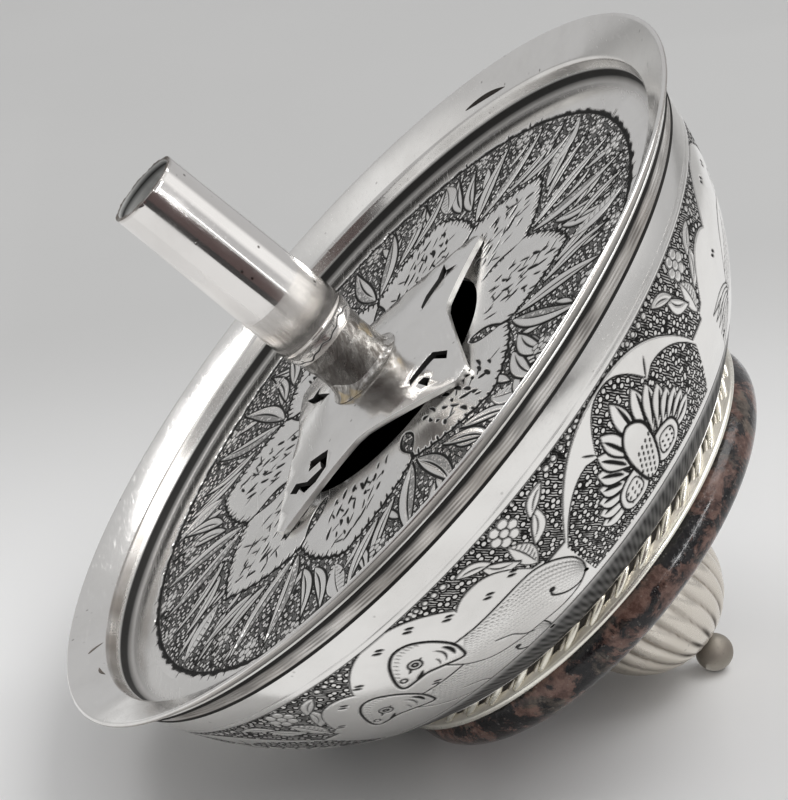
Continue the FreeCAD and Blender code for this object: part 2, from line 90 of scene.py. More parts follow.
# %% A pencil for profiles, and the lathe
class Profile:
    """Line of (radius, height) points in the XZ plane, in millimetres."""

    def __init__(self, radius, height):
        self.bm = bmesh.new()
        self.first = self.bm.verts.new((radius, 0, height))
        self.tip = self.first

    def to(self, radius, height, parts=1):
        """Straight run, cut into parts."""
        start = self.tip.co.copy()
        for number in range(1, parts + 1):
            point = self.bm.verts.new(start.lerp((radius, 0, height), number / parts))
            self.bm.edges.new((self.tip, point))
            self.tip = point
        return self

    def sweep(self, radius, height, curve, steps=8):
        """Round run of radius |curve| that bulges left of the way along if curve is positive, else right."""
        start = self.tip.co.copy()
        end = Vector((radius, 0, height))
        chord = end - start
        side = math.copysign(1, curve)
        left = Vector((-chord.z, 0, chord.x)).normalized()
        half = chord.length / 2
        middle = (start + end) / 2 - left * side * math.sqrt(max(curve**2 - half**2, 0))
        turn = -side * 2 * math.asin(min(half / abs(curve), 1))
        made = bmesh.ops.spin(self.bm, geom=[self.tip], cent=middle, axis=(0, -1, 0), angle=turn, steps=steps)
        self.tip = next(item for item in made["geom_last"] if isinstance(item, bmesh.types.BMVert))
        assert (self.tip.co - end).length < 0.01
        return self

    def close(self):
        """Straight run back to the first point."""
        self.bm.edges.new((self.tip, self.first))
        return self

    def lathe(self, steps=192):
        """Turn the line into a closed piece."""
        geometry = self.bm.verts[:] + self.bm.edges[:]
        bmesh.ops.spin(self.bm, geom=geometry, cent=(0, 0, 0), axis=(0, 0, 1), angle=math.tau, steps=steps,
                       use_merge=True)
        bmesh.ops.remove_doubles(self.bm, verts=self.bm.verts, dist=0.0005)
        bmesh.ops.recalc_face_normals(self.bm, faces=self.bm.faces)
        return self.bm


def points_of(bm):
    """Vertex places of a bmesh as an array, in millimetres."""
    return np.array([vert.co[:] for vert in bm.verts])


def move_points(bm, points):
    """Write places back to a bmesh."""
    for vert, point in zip(bm.verts, points):
        vert.co = point


test_ring = Profile(1, 0).to(2, 0).to(2, 1).to(1, 1).close().lathe(12)
print("a square ring turned in 12 steps has", len(test_ring.faces), "faces")
test_ring.free()


# %% [markdown]
# A finished piece is laid down, linked, shaded smooth except at its sharp edges, and tied to the CAD body
# it moves with. Where it shows a CAD node better than the node's own facets do, it replaces that node.


# %% Hand a piece over to the frame
def add_piece(bm, name, body, material, nodes=(), sharp=40):
    """Object from an upright bmesh in millimetres, lying in place."""
    bmesh.ops.transform(bm, matrix=lay_mm, verts=bm.verts)
    mesh = bpy.data.meshes.new(name)
    bm.to_mesh(mesh)
    bm.free()
    return add_mesh(mesh, name, body, material, nodes, sharp)


def add_mesh(mesh, name, body, material, nodes=(), sharp=40):
    """Object from a mesh that is already in place."""
    mesh.shade_smooth()
    mesh.set_sharp_from_angle(angle=math.radians(sharp))
    mesh.materials.append(material)
    piece = bpy.data.objects.new(name, mesh)
    bpy.context.scene.collection.objects.link(piece)
    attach(piece, body)
    if nodes:
        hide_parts(*nodes)
    print(f"{name}: {len(mesh.polygons)} faces")
    return piece


# %% [markdown]
# ## Finishes
# Materials are built from nodes. Small helpers keep that readable: one places a node and fills its inputs
# in order, with numbers or with links, and the others name what is done most: multiply, mix, step, noise
# and dents.


# %% Node helpers
def put(tree, kind, *values, **settings):
    """Place a shader node, set its options and fill its inputs in order."""
    node = tree.nodes.new("ShaderNode" + kind)
    for option, choice in settings.items():
        setattr(node, option, choice)
    for entry, number in zip(node.inputs, values):
        if isinstance(number, bpy.types.NodeSocket):
            tree.links.new(number, entry)
        elif number is not None:
            entry.default_value = number
    return node


def math_of(tree, operation, first, second=None, clamp=False):
    """Output of one Math node."""
    return put(tree, "Math", first, second, operation=operation, use_clamp=clamp).outputs[0]


def times(tree, first, second):
    """Product of two values."""
    return math_of(tree, "MULTIPLY", first, second)


def mixed(tree, factor, first, second):
    """Colour between two colours."""
    node = put(tree, "Mix", data_type="RGBA")
    for entry, given in ((node.inputs[0], factor), (node.inputs[6], first), (node.inputs[7], second)):
        if isinstance(given, bpy.types.NodeSocket):
            tree.links.new(given, entry)
        else:
            entry.default_value = given
    return node.outputs[2]


def step(tree, value, low, high, out_low=0.0, out_high=1.0):
    """Value taken from one range to another, clamped, with soft ends."""
    node = put(tree, "MapRange", value, low, high, out_low, out_high, interpolation_type="SMOOTHSTEP")
    return node.outputs[0]


def new_material(name):
    """Material with its tree and shader."""
    material = bpy.data.materials.new(name)
    material.use_nodes = True
    tree = material.node_tree
    return material, tree, tree.nodes["Principled BSDF"]


def object_place(tree, turn=(0, 0, 0), stretch=(1, 1, 1)):
    """Object coordinates, turned and stretched."""
    place = put(tree, "TexCoord").outputs["Object"]
    return put(tree, "Mapping", place, None, turn, stretch).outputs[0]


def noise(tree, place, scale, detail=3.0, roughness=0.55):
    """Noise value for a place in metres."""
    return put(tree, "TexNoise", place, None, scale, detail, roughness).outputs[0]


def painted(tree, label):
    """Attribute that was painted on the mesh."""
    return put(tree, "Attribute", attribute_name=label).outputs["Fac"]


def add_dents(tree, shader, strength, depth, height):
    """Small dents on the shader's normal, from a height between 0 and 1. depth is in metres."""
    bump = put(tree, "Bump", strength, depth, None, height)
    tree.links.new(bump.outputs[0], shader.inputs["Normal"])


print("node helpers are ready")


# %% [markdown]
# Old silver is never one colour. It has soft clouds of tarnish, fine wiping scratches and scattered dark
# pits. All the silver shares that wear, so it is one node group. It gives three masks, and each finish
# decides how strong they are.


# %% Shared wear of handled silver
def make_silver_wear():
    """Node group with the masks Cloud, Scratch and Pit."""
    group = bpy.data.node_groups.new("silver wear", "ShaderNodeTree")
    for name in ("Cloud", "Scratch", "Pit"):
        group.interface.new_socket(name=name, in_out="OUTPUT", socket_type="NodeSocketFloat")
    place = object_place(group)
    cloud = step(group, noise(group, place, 55.0, 4.0, 0.6), 0.38, 0.72)
    wipe = object_place(group, (0.5, 0.9, 0.3), (1.0, 0.04, 1.0))
    scratch = step(group, noise(group, wipe, 2600.0, 2.0, 0.5), 0.56, 0.72)
    grain = put(group, "TexVoronoi", place, None, 420.0, feature="F1")
    chance = noise(group, place, 140.0, 2.0)
    near = step(group, grain.outputs["Distance"], 0.05, 0.17, 1.0, 0.0)
    pit = times(group, near, step(group, chance, 0.53, 0.62))
    ends = group.nodes.new("NodeGroupOutput")
    for name, mask in (("Cloud", cloud), ("Scratch", scratch), ("Pit", pit)):
        group.links.new(mask, ends.inputs[name])
    return group


silver_wear = make_silver_wear()
print("wear masks:", ", ".join(item.name for item in silver_wear.interface.items_tree))


def place_wear(tree):
    """The wear group's masks in a material."""
    node = tree.nodes.new("ShaderNodeGroup")
    node.node_tree = silver_wear
    return node.outputs


# %% [markdown]
# Polished silver is a metal with a low roughness. Clouds and scratches raise the roughness a little, which
# breaks up the reflections, and an attribute painted on the mesh brings warm tarnish into coves and seams.
# On some pieces the same attribute also carries painted shade and painted reflection. A second painted
# attribute, named dark, mixes in black, for black dirt and also for painted shade.


# %% Polished, tarnished and satin silver
BRIGHT_SILVER = (0.90, 0.885, 0.86, 1)
GREY_SILVER = (0.62, 0.60, 0.575, 1)
WARM_TARNISH_AND_SHADE = (0.325, 0.285, 0.25, 1)
BROWN_TARNISH_AND_SHADE = (0.165, 0.142, 0.122, 1)
PIT_BROWN = (0.09, 0.08, 0.07, 1)
OXIDE_AND_SHADE = (0.007, 0.0065, 0.006, 1)
DIRT_SPECULAR = 0.1


def silver_finish(name, bright, cloudy, gloss, clouds, scratches, pits, bump=0.05):
    """Worn silver. gloss is the clean metal's roughness, and the rest say how strong each kind of wear is."""
    material, tree, shader = new_material(name)
    wear = place_wear(tree)
    grime_and_shade = painted(tree, "grime_and_shade")
    dark = painted(tree, "dark")
    colour = mixed(tree, times(tree, wear["Cloud"], clouds), bright, cloudy)
    # Warm tarnish colour, which also serves as painted shade and painted reflection.
    tarnish_and_shade = mixed(tree, wear["Cloud"], WARM_TARNISH_AND_SHADE, BROWN_TARNISH_AND_SHADE)
    colour = mixed(tree, grime_and_shade, colour, tarnish_and_shade)
    colour = mixed(tree, times(tree, wear["Pit"], pits), colour, PIT_BROWN)
    # Black oxide colour, which also serves as painted shade.
    colour = mixed(tree, dark, colour, OXIDE_AND_SHADE)
    tree.links.new(colour, shader.inputs["Base Color"])
    rough = math_of(tree, "MULTIPLY_ADD", wear["Scratch"], scratches)
    rough.node.inputs[2].default_value = gloss
    rough = math_of(tree, "ADD", rough, times(tree, wear["Cloud"], 0.08))
    rough = math_of(tree, "ADD", rough, times(tree, grime_and_shade, 0.22))
    rough = math_of(tree, "ADD", rough, times(tree, dark, 0.5), clamp=True)
    tree.links.new(rough, shader.inputs["Roughness"])
    metal = math_of(tree, "SUBTRACT", 1.0, times(tree, dark, 0.95))
    tree.links.new(metal, shader.inputs["Metallic"])
    height = math_of(tree, "SUBTRACT", times(tree, wear["Cloud"], 0.4), wear["Pit"])
    add_dents(tree, shader, bump, 0.0004, height)
    shader.inputs["Specular IOR Level"].default_value = DIRT_SPECULAR
    return material


polished_silver = silver_finish("polished silver", BRIGHT_SILVER, GREY_SILVER,
                                gloss=0.13, clouds=0.35, scratches=0.10, pits=0.5)
tube_silver = silver_finish("speckled tube silver", (0.89, 0.865, 0.84, 1), GREY_SILVER,
                            gloss=0.07, clouds=0.25, scratches=0.05, pits=0.9)
satin_silver = silver_finish("satin silver", (0.69, 0.645, 0.58, 1), (0.54, 0.495, 0.42, 1),
                             gloss=0.24, clouds=0.35, scratches=0.08, pits=0.3, bump=0.02)
ring_silver = silver_finish("yellowed ring silver", (0.93, 0.90, 0.80, 1), (0.55, 0.50, 0.39, 1),
                            gloss=0.24, clouds=0.4, scratches=0.1, pits=0.4)
seat_silver = silver_finish("cream seat silver", (0.93, 0.905, 0.82, 1), (0.70, 0.66, 0.55, 1),
                            gloss=0.26, clouds=0.3, scratches=0.1, pits=0.3)
dull_silver = silver_finish("dull silver", (0.33, 0.305, 0.265, 1), (0.25, 0.23, 0.195, 1),
                            gloss=0.5, clouds=0.5, scratches=0.1, pits=0.4)
filed_silver = silver_finish("filed edge silver", (0.88, 0.87, 0.845, 1), GREY_SILVER,
                             gloss=0.36, clouds=0.4, scratches=0.12, pits=0.3)
print("silver finishes made, from polished to filed")

# %% [markdown]
# ## The engraving
# The engraver cuts lines, and punches the ground between the motifs with small rings, then lets the cuts
# go black. Drawing that with shader nodes alone would be hopeless, so a Graver draws on a flat map of the
# surface: for each point of a dense sheet it keeps how deep a cut is there and whether the point is
# punched ground. The sheet is then rolled on to the dish or the bowl. The small rings themselves repeat
# without end, and those stay in the material. The numbers in a drawing are millimetres, and degrees where
# they go with a radius.


# %% The graver
SOFT = 0.17


def soft_edge(depth):
    """1 inside, 0 outside and soft between. The depth is in millimetres, and positive inside."""
    return np.clip(depth / SOFT + 0.5, 0, 1)


class Graver:
    """Marks on a flat map, in millimetres: cut is a black line, ground is punched and dark."""

    def __init__(self, across, down):
        self.x = across
        self.y = down
        # cut also holds the painted shade near the bowl's foot.
        self.cut = np.zeros(across.shape)
        self.ground = np.zeros(across.shape)

    def blacken(self, near, mark):
        """Cut some points at least as deep as a mark."""
        self.cut[near] = np.maximum(self.cut[near], mark)

    def along(self, start, end, bow, reach):
        """Points near a bowed line, their share of the way along it and their distance to its left."""
        length = math.dist(start, end)
        way = ((end[0] - start[0]) / length, (end[1] - start[1]) / length)
        room = length / 2 + reach + abs(bow)
        middle = ((start[0] + end[0]) / 2, (start[1] + end[1]) / 2)
        near = np.flatnonzero((abs(self.x - middle[0]) < room) & (abs(self.y - middle[1]) < room))
        right = self.x[near] - start[0]
        up = self.y[near] - start[1]
        share = (right * way[0] + up * way[1]) / length
        aside = up * way[0] - right * way[1] - bow * 4 * share * (1 - share)
        return near, share, aside

    def stroke(self, start, end, width, bow=0.0, dark=1.0):
        """One cut that swells in its middle."""
        near, share, aside = self.along(start, end, bow, width)
        half = width / 2 * np.clip(1 - abs(2 * share - 1) ** 3, 0, 1)
        mark = soft_edge(half - abs(aside)) * (half > 0) * dark
        self.blacken(near, mark)

    def leaf(self, base, tip, width, bow=0.0, belly=0.45, edge=0.32, punched=0.0, shaded=0.0):
        """Leaf outlined by a cut: plain metal, or punched ground. One half of it may be shaded."""
        near, share, aside = self.along(base, tip, bow, width)
        inside = (share > 0) & (share < 1)
        swell = np.clip(share, 0, 1) ** (math.log(0.5) / math.log(belly))
        depth = np.where(inside, width / 2 * np.sin(np.pi * swell) - abs(aside), -1.0)
        body = soft_edge(depth)
        half = punched + shaded * np.clip(aside / SOFT, 0, 1)
        self.ground[near] = self.ground[near] * (1 - body) + body * half
        self.cut[near] *= 1 - body
        rim = soft_edge(edge / 2 - abs(depth)) * inside
        self.blacken(near, rim)

    def striped_leaf(self, base, tip, width, bow=0.0, stripes=9):
        """Leaf with slanted stripes from its rib to one edge."""
        self.leaf(base, tip, width, bow)
        run = (tip[0] - base[0], tip[1] - base[1])
        length = math.hypot(*run)
        normal = (-run[1] / length, run[0] / length)
        self.stroke(base, tip, 0.3, bow)
        for number in range(1, stripes):
            share = number / stripes
            reach = width / 2 * math.sin(math.pi * share) * 0.95
            lift = bow * 4 * share * (1 - share)
            spot = (base[0] + run[0] * share + normal[0] * lift, base[1] + run[1] * share + normal[1] * lift)
            end = (spot[0] + normal[0] * reach + run[0] * 0.06, spot[1] + normal[1] * reach + run[1] * 0.06)
            self.stroke(spot, end, 0.26, 0.1)

    def ring(self, centre, radius, width=0.3, plain=True):
        """Circle, with plain metal inside."""
        near = np.flatnonzero((abs(self.x - centre[0]) < radius + 1) & (abs(self.y - centre[1]) < radius + 1))
        gap = np.hypot(self.x[near] - centre[0], self.y[near] - centre[1])
        if plain:
            body = soft_edge(radius - gap)
            self.ground[near] *= 1 - body
            self.cut[near] *= 1 - body
        mark = soft_edge(width / 2 - abs(gap - radius))
        self.blacken(near, mark)

    def floret(self, centre, radius, petals=6):
        """Small flower of round petals about a ringed eye."""
        for number in range(petals):
            turn = math.tau * number / petals
            spot = (centre[0] + radius * math.cos(turn), centre[1] + radius * math.sin(turn))
            self.ring(spot, radius * 0.55)
        self.ring(centre, radius * 0.5)

    def path(self, points, width):
        """Even cut along a run of points."""
        for start, end in zip(points, points[1:]):
            near, share, aside = self.along(start, end, 0.0, width)
            past = np.maximum(0, abs(share - 0.5) - 0.5) * math.dist(start, end)
            mark = soft_edge(width / 2 - np.hypot(aside, past))
            self.blacken(near, mark)

    def shape(self, points, width):
        """Closed outline with a cut edge, cleared to plain metal."""
        xs, ys = np.array(points).T
        between = (self.x > xs.min()) & (self.x < xs.max())
        near = np.flatnonzero(between & (self.y > ys.min()) & (self.y < ys.max()))
        x, y = self.x[near], self.y[near]
        inside = np.zeros(near.shape, dtype=bool)
        for x0, y0, x1, y1 in zip(xs, ys, np.roll(xs, -1), np.roll(ys, -1)):
            crosses = (y0 > y) != (y1 > y)
            inside ^= crosses & (x < x0 + (x1 - x0) * (y - y0) / (y1 - y0 if y1 != y0 else 1))
        self.cut[near[inside]] = 0
        self.ground[near[inside]] = 0
        self.path(list(points) + [points[0]], width)

    def line_at(self, distance, width, where=True, dark=1.0):
        """Cut wherever a field of distances passes zero."""
        mark = soft_edge(width / 2 - abs(distance)) * where * dark
        self.cut = np.maximum(self.cut, mark)


test_map = Graver(np.zeros(3), np.array((0.0, 0.1, 0.3)))
test_map.stroke((-1, 0), (1, 0), 0.3)
print("a stroke 0.3 mm wide marks points 0, 0.1 and 0.3 mm aside by", test_map.cut.round(2))


# %% [markdown]
# A drawn outline is given by a few points. Rounding runs a smooth curve through them, as the engraver's
# hand would.


# %% Smooth outlines
def rounded(points, closed=False, parts=5):
    """Points of a smooth curve through given points."""
    given = [np.array(point, dtype=float) for point in points]
    count = len(given)
    result = []
    for number in range(count if closed else count - 1):
        if closed:
            before, start, end, after = (given[(number + shift) % count] for shift in (-1, 0, 1, 2))
        else:
            before, start = given[max(number - 1, 0)], given[number]
            end, after = given[number + 1], given[min(number + 2, count - 1)]
        for part in range(parts):
            t = part / parts
            bend = (2 * start + (end - before) * t + (2 * before - 5 * start + 4 * end - after) * t**2
                    + (3 * start - before - 3 * end + after) * t**3) / 2
            result.append(tuple(bend))
    if not closed:
        result.append(tuple(given[-1]))
    return result


def shifted(points, shift):
    """Outline moved by a shift."""
    return [(x + shift[0], y + shift[1]) for x, y in points]


test_square = rounded(((0, 0), (1, 0), (1, 1), (0, 1)), closed=True)
print("a square rounds to", len(test_square), "points")


# %% [markdown]
# The engraved sheet itself is a flat grid from bmesh. Its columns and rows become angle and run on the
# surface. The marks lower its points a little, so that the cuts are real, and are kept as attributes for
# the material. The sheet's edges are turned in, so that no gap shows where it meets the plain metal.


# %% Engraved sheets
CUT_DEPTH = 0.11
GROUND_DEPTH = 0.08
SHEET_EDGE = 0.3
SHARE = 1.0


def flat_grid(columns, rows):
    """Bmesh of a grid whose X and Y run from 0 to 1, with a turned-in edge at Z -1."""
    bm = bmesh.new()
    bmesh.ops.create_grid(bm, x_segments=columns, y_segments=rows, size=0.5)
    bmesh.ops.translate(bm, vec=(0.5, 0.5, 0), verts=bm.verts)
    border = [edge for edge in bm.edges if edge.is_boundary]
    skirt = bmesh.ops.extrude_edge_only(bm, edges=border)
    low = [item for item in skirt["geom"] if isinstance(item, bmesh.types.BMVert)]
    bmesh.ops.translate(bm, vec=(0, 0, -1), verts=low)
    bmesh.ops.recalc_face_normals(bm, faces=bm.faces)
    return bm


def engraved_sheet(name, columns, rows, draw, roll, material):
    """Sheet marked by draw(u, v), which gives a Graver and a texture map, and shaped by roll(u, v, depth)."""
    bm = flat_grid(columns, rows)
    mesh = bpy.data.meshes.new(name)
    bm.to_mesh(mesh)
    bm.free()
    grid = np.empty(len(mesh.vertices) * 3)
    mesh.vertices.foreach_get("co", grid)
    grid = grid.reshape(-1, 3)
    graver, flat_map = draw(grid[:, 0], grid[:, 1])
    depth = CUT_DEPTH * graver.cut + GROUND_DEPTH * graver.ground
    depth = np.where(grid[:, 2] < -0.5, SHEET_EDGE, depth)
    points = roll(grid[:, 0], grid[:, 1], depth)
    points = points @ np.array(lay_mm)[:3, :3].T + np.array(lay_mm)[:3, 3]
    mesh.vertices.foreach_set("co", points.ravel())
    for label, marks in (("cut", graver.cut), ("ground", graver.ground)):
        mesh.attributes.new(label, "FLOAT", "POINT").data.foreach_set("value", marks.astype(np.float32))
    uv = mesh.uv_layers.new(name="engraving")
    corners = np.empty(len(mesh.loops), dtype=np.int32)
    mesh.loops.foreach_get("vertex_index", corners)
    uv.data.foreach_set("uv", flat_map[corners].astype(np.float32).ravel())
    mesh.update()
    return add_mesh(mesh, name, "dish", material, sharp=75)


def engrave_round(name, sheets, start, columns, rows, draw, roll, material):
    """Sheets side by side, all the way round from a start angle in degrees."""
    for number in range(sheets):
        first = start + 360 / sheets * number
        last = first + 360 / sheets
        engraved_sheet(f"{name}_{number}", int(columns * SHARE), int(rows * SHARE), draw(first, last),
                       roll(first, last), material)


print(f"cuts are {CUT_DEPTH} mm deep, and the punched ground {GROUND_DEPTH} mm")

# %% [markdown]
# The punched ground is a field of rings. A Voronoi texture on the sheet's own flat map, in millimetres,
# gives the distance to the nearest ring's middle, and so a pale dot, a black ring and a grey web between
# the rings.


# %% The engraved finish
def make_engraved_silver(name, ring_size, hatching, dot_size, gloss):
    """Silver with black cuts and a punched ground. ring_size is the pitch of the rings in millimetres."""
    material, tree, shader = new_material(name)
    wear = place_wear(tree)
    # The cut attribute also carries painted shade near the bowl's foot.
    cut = painted(tree, "cut")
    ground = painted(tree, "ground")
    flat_map = put(tree, "UVMap", uv_map="engraving").outputs[0]
    punches = put(tree, "TexVoronoi", flat_map, None, 1 / ring_size, voronoi_dimensions="2D", feature="F1")
    punches.inputs["Randomness"].default_value = 0.7
    gap = punches.outputs["Distance"]
    dot = step(tree, gap, dot_size - 0.05, dot_size + 0.04, 1.0, 0.0)
    web = step(tree, gap, 0.40, 0.50)
    hatch_place = put(tree, "Mapping", flat_map, None, (0, 0, 0.5)).outputs[0]
    hatch = put(tree, "TexWave", hatch_place, 0.75, 2.5, 1.0, 1.0).outputs["Fac"]
    flicker = step(tree, noise(tree, object_place(tree), 500.0, 2.0), 0.30, 0.62)
    pale = times(tree, times(tree, web, step(tree, hatch, 0.45, 0.75)), flicker)
    pale = math_of(tree, "MAXIMUM", dot, times(tree, pale, hatching))
    unpolished = math_of(tree, "SUBTRACT", 1.0, times(tree, pale, 0.92))
    dark = times(tree, ground, unpolished)
    dark = math_of(tree, "MAXIMUM", dark, cut, clamp=True)
    colour = mixed(tree, times(tree, wear["Cloud"], 0.35), BRIGHT_SILVER, GREY_SILVER)
    colour = mixed(tree, dark, colour, OXIDE_AND_SHADE)
    tree.links.new(colour, shader.inputs["Base Color"])
    rough = math_of(tree, "MULTIPLY_ADD", dark, 0.4)
    rough.node.inputs[2].default_value = gloss
    rough = math_of(tree, "ADD", rough, times(tree, wear["Scratch"], 0.08), clamp=True)
    tree.links.new(rough, shader.inputs["Roughness"])
    metal = math_of(tree, "SUBTRACT", 1.0, times(tree, dark, 0.95))
    tree.links.new(metal, shader.inputs["Metallic"])
    height = times(tree, ground, pale)
    add_dents(tree, shader, 0.5, 0.00012, height)
    shader.inputs["Specular IOR Level"].default_value = DIRT_SPECULAR
    return material


disc_silver = make_engraved_silver("engraved disc silver",
                                   ring_size=1.35, hatching=0.35, dot_size=0.27, gloss=0.20)
bowl_silver = make_engraved_silver("engraved bowl silver",
                                   ring_size=1.45, hatching=0.8, dot_size=0.245, gloss=0.17)
print("engraved finishes:", disc_silver.name, "and", bowl_silver.name)

# %% [markdown]
# ## The dish
# The tray is one sheet: a flared rim, a step wall and a flat disc with a round hole. The rim's edge is
# thickened by a wire underneath. Both are turned from a profile that follows the CAD levels, with the
# corners eased by hand wear.

# %% Levels of the dish
disc_foot, rim_top, rim_radius = span("tray")
bowl_foot, seam, mouth_radius = span("bowl_shell")
lip_foot = span("lip_wire")[0]
TRAY_DEPTH = 7.65
disc_top = rim_top - TRAY_DEPTH
HOLE_RADIUS = 23.0
ENGRAVED_RADIUS = 61.4
SKIRT = (mouth_radius - 0.28, seam - 1.87)
COVE_TOP = (rim_radius - 3.2, lip_foot - 1.2)
BEAD = (rim_radius - 2.5, lip_foot - 0.1)
EDGE_TOP = (rim_radius - 0.5, rim_top + 0.15)
FLANGE_CURVE = 50.0
FLANGE_INNER = mouth_radius - 1.1
FLANGE_FOOT = disc_top + 4.6
BEND = (FLANGE_INNER - 0.58, FLANGE_FOOT - 0.76)
WALL_FOOT = (BEND[0] - 0.67, disc_top + 1.15)
FLOOR_RADIUS = WALL_FOOT[0] - 1.48
print(f"disc at {disc_top:.2f}, seam at {seam:.2f}, rim at {rim_top:.2f} mm up the axis")


# %% [markdown]
# Tarnish and dirt follow the shape: they sit in coves, seams and corners, and so does the painted shade
# that some pieces get. So they are painted point by point, as attributes of the mesh, by functions of the
# radius, the height and the angle about the axis.


# %% Paint on a piece
def paint(piece, label, mask):
    """Attribute from a function of (radius, height, angle) in millimetres and radians."""
    mesh = piece.data
    points = np.empty(len(mesh.vertices) * 3)
    mesh.vertices.foreach_get("co", points)
    points = points.reshape(-1, 3) @ upright[:3, :3].T + upright[:3, 3]
    angle = np.arctan2(points[:, 1], points[:, 0])
    marks = np.clip(mask(np.hypot(points[:, 0], points[:, 1]), points[:, 2], angle), 0, 1)
    mesh.attributes.new(label, "FLOAT", "POINT").data.foreach_set("value", marks.astype(np.float32))


def band(value, low, high, soft):
    """1 between low and high, falling to 0 over soft."""
    return np.clip((value - low) / soft, 0, 1) * np.clip((high - value) / soft, 0, 1)


def paint_all(piece, label, value):
    """The same value all over a piece."""
    paint(piece, label, lambda radius, height, angle: value + 0 * radius)


# %% [markdown]
# The tray's profile runs from the hole out under the disc, up the skirt and the cove to the bead, round
# the rim's edge, and back over the flange and down the step wall. The disc lies a little low where the
# engraved sheets go.

# %% The tray
tray_line = Profile(HOLE_RADIUS, disc_top - SHEET_EDGE)
tray_line.to(HOLE_RADIUS, disc_foot).to(mouth_radius - 2.6, disc_foot, 8).to(mouth_radius - 1.3, seam)
tray_line.to(mouth_radius + 0.04, seam, 2).to(*SKIRT, 3).to(SKIRT[0] + 0.3, SKIRT[1])
tray_line.to(SKIRT[0] + 0.38, SKIRT[1] + 0.7, 5).sweep(*COVE_TOP, 4.2, 24)
tray_line.to(BEAD[0] - 0.25, BEAD[1] - 0.15, 5).to(BEAD[0], BEAD[1] + 0.25)
tray_line.to(rim_radius - 0.12, rim_top - 0.55, 12).sweep(*EDGE_TOP, -0.45, 10)
tray_line.sweep(FLANGE_INNER, FLANGE_FOOT, -FLANGE_CURVE, 16).sweep(*BEND, -1.2, 8)
tray_line.to(*WALL_FOOT, 8).sweep(FLOOR_RADIUS, disc_top, 1.52, 12)
tray_line.to(ENGRAVED_RADIUS, disc_top, 3).to(ENGRAVED_RADIUS, disc_top - SHEET_EDGE)
tray_line.to(HOLE_RADIUS, disc_top - SHEET_EDGE, 12)
tray = add_piece(tray_line.lathe(384), "tray_sheet", "dish", polished_silver, ["tray"])


# %% [markdown]
# On the real rim the cove under the flare is brown with tarnish, the seam is black, and the step wall is
# dirty at its foot. Light is painted on as well: the flare's underside is brown and dark as a painted
# reflection, the recess under the bead is black as a painted shadow, the lower step wall is black as a
# painted reflection, and the disc's underside is black as painted shade. The same few measures of place
# say where each of them is.


# %% Tarnish, dirt and painted shade on the tray
def in_cove(radius, height):
    """1 on the outside of the tray between its skirt and the bead."""
    below_flange = height - SKIRT[1] < 1.0 + 1.6 * (radius - SKIRT[0])
    return (radius > SKIRT[0] - 0.1) * (radius < BEAD[0] - 0.02) * below_flange


def on_flare(radius, height):
    """0 off the flare's underside. On it, 1 at the bead, falling to near 0 at the rim's edge."""
    below = height < BEAD[1] + 0.5 + (radius - BEAD[0]) * 0.75
    share = (radius - BEAD[0]) / (rim_radius - BEAD[0])
    return (radius > BEAD[0] - 0.01) * below * np.clip(1 - share, 0.02, 1)


def tray_tarnish_and_shade(radius, height, angle):
    """Tarnish in the cove, the step's corner and the flange's turn-down, and a painted reflection under the
    flare.
    """
    uneven = 0.62 + 0.2 * np.sin(angle * 5 + 1.0) * np.sin(angle * 13)
    uneven += 0.18 * np.sin(angle * 41 + height * 9)
    cove = band(height, SKIRT[1], BEAD[1], 0.25) * in_cove(radius, height)
    flare = on_flare(radius, height) > 0
    inner = radius < mouth_radius - 1.0
    foot = band(height, disc_top - 0.1, disc_top + 0.7, 0.5) * inner * (radius > FLOOR_RADIUS - 1.5) * 0.5
    turned = band(height, disc_top + 2.45, FLANGE_FOOT - 0.05, 0.1) * inner
    handled = np.clip(-0.1 - np.cos(angle - 0.15), 0.2, 0.85)
    patches = np.clip(0.8 + np.sin(angle * 7 + 2) * np.sin(angle * 31) * 0.35, 0, 1) * handled
    # The flare's underside is painted brown as a painted reflection.
    return cove * uneven * 0.95 + flare * (0.35 + 0.4 * uneven) + foot + turned * patches


def tray_dark(radius, height, angle):
    """Painted shade under the disc and bead, painted reflection low on the step wall and flare, black seam
    dirt.
    """
    # Painted shade: the disc's underside is black.
    under = (radius < mouth_radius - 1.5) * (disc_top - 0.5 - height) / 0.3
    outside = in_cove(radius, height)
    joint = 0.97 * band(height, SKIRT[1] - 0.2, SKIRT[1] + 0.7, 0.12) * outside
    ragged = 0.25 * np.sin(angle * 17 + 1) * np.sin(angle * 53)
    # Painted shadow: black rising up the cove to the bead.
    recess = np.clip((height - COVE_TOP[1] + 1.5 + ragged) / 1.4, 0, 0.97) * outside
    recess *= height < BEAD[1] + 0.3
    # Painted reflection: black low on the step wall, palest at its foot.
    share = (height - disc_top) / (WALL_FOOT[1] - disc_top)
    wall = np.clip(0.3 + share * 1.1, 0, 0.97) * np.clip((2.0 - share) * 2.5, 0, 1)
    wall *= (radius > FLOOR_RADIUS - 0.01) & (radius < mouth_radius - 1.0)
    # Painted reflection: dark under the flare, strongest at the bead.
    flare = 0.9 * on_flare(radius, height)
    uneven = np.sin(angle * 37) * np.sin(angle * 11 + 2) + 0.5 * np.sin(height * 9) + 0.2
    streaks = 0.5 * np.clip(uneven, 0, 1)
    cove = band(height, SKIRT[1] + 0.8, COVE_TOP[1], 0.4) * streaks * outside
    return np.clip(under, 0, 1) + joint + np.maximum(recess, cove) + flare + wall


paint(tray, "grime_and_shade", tray_tarnish_and_shade)
paint(tray, "dark", tray_dark)
print("painted the tray's cove, seam, recess and step wall")

# %% [markdown]
# The wire that stiffens the edge shows only as a thin bead under the flare. It is a small half round,
# turned like the rest, and filed rather than polished.

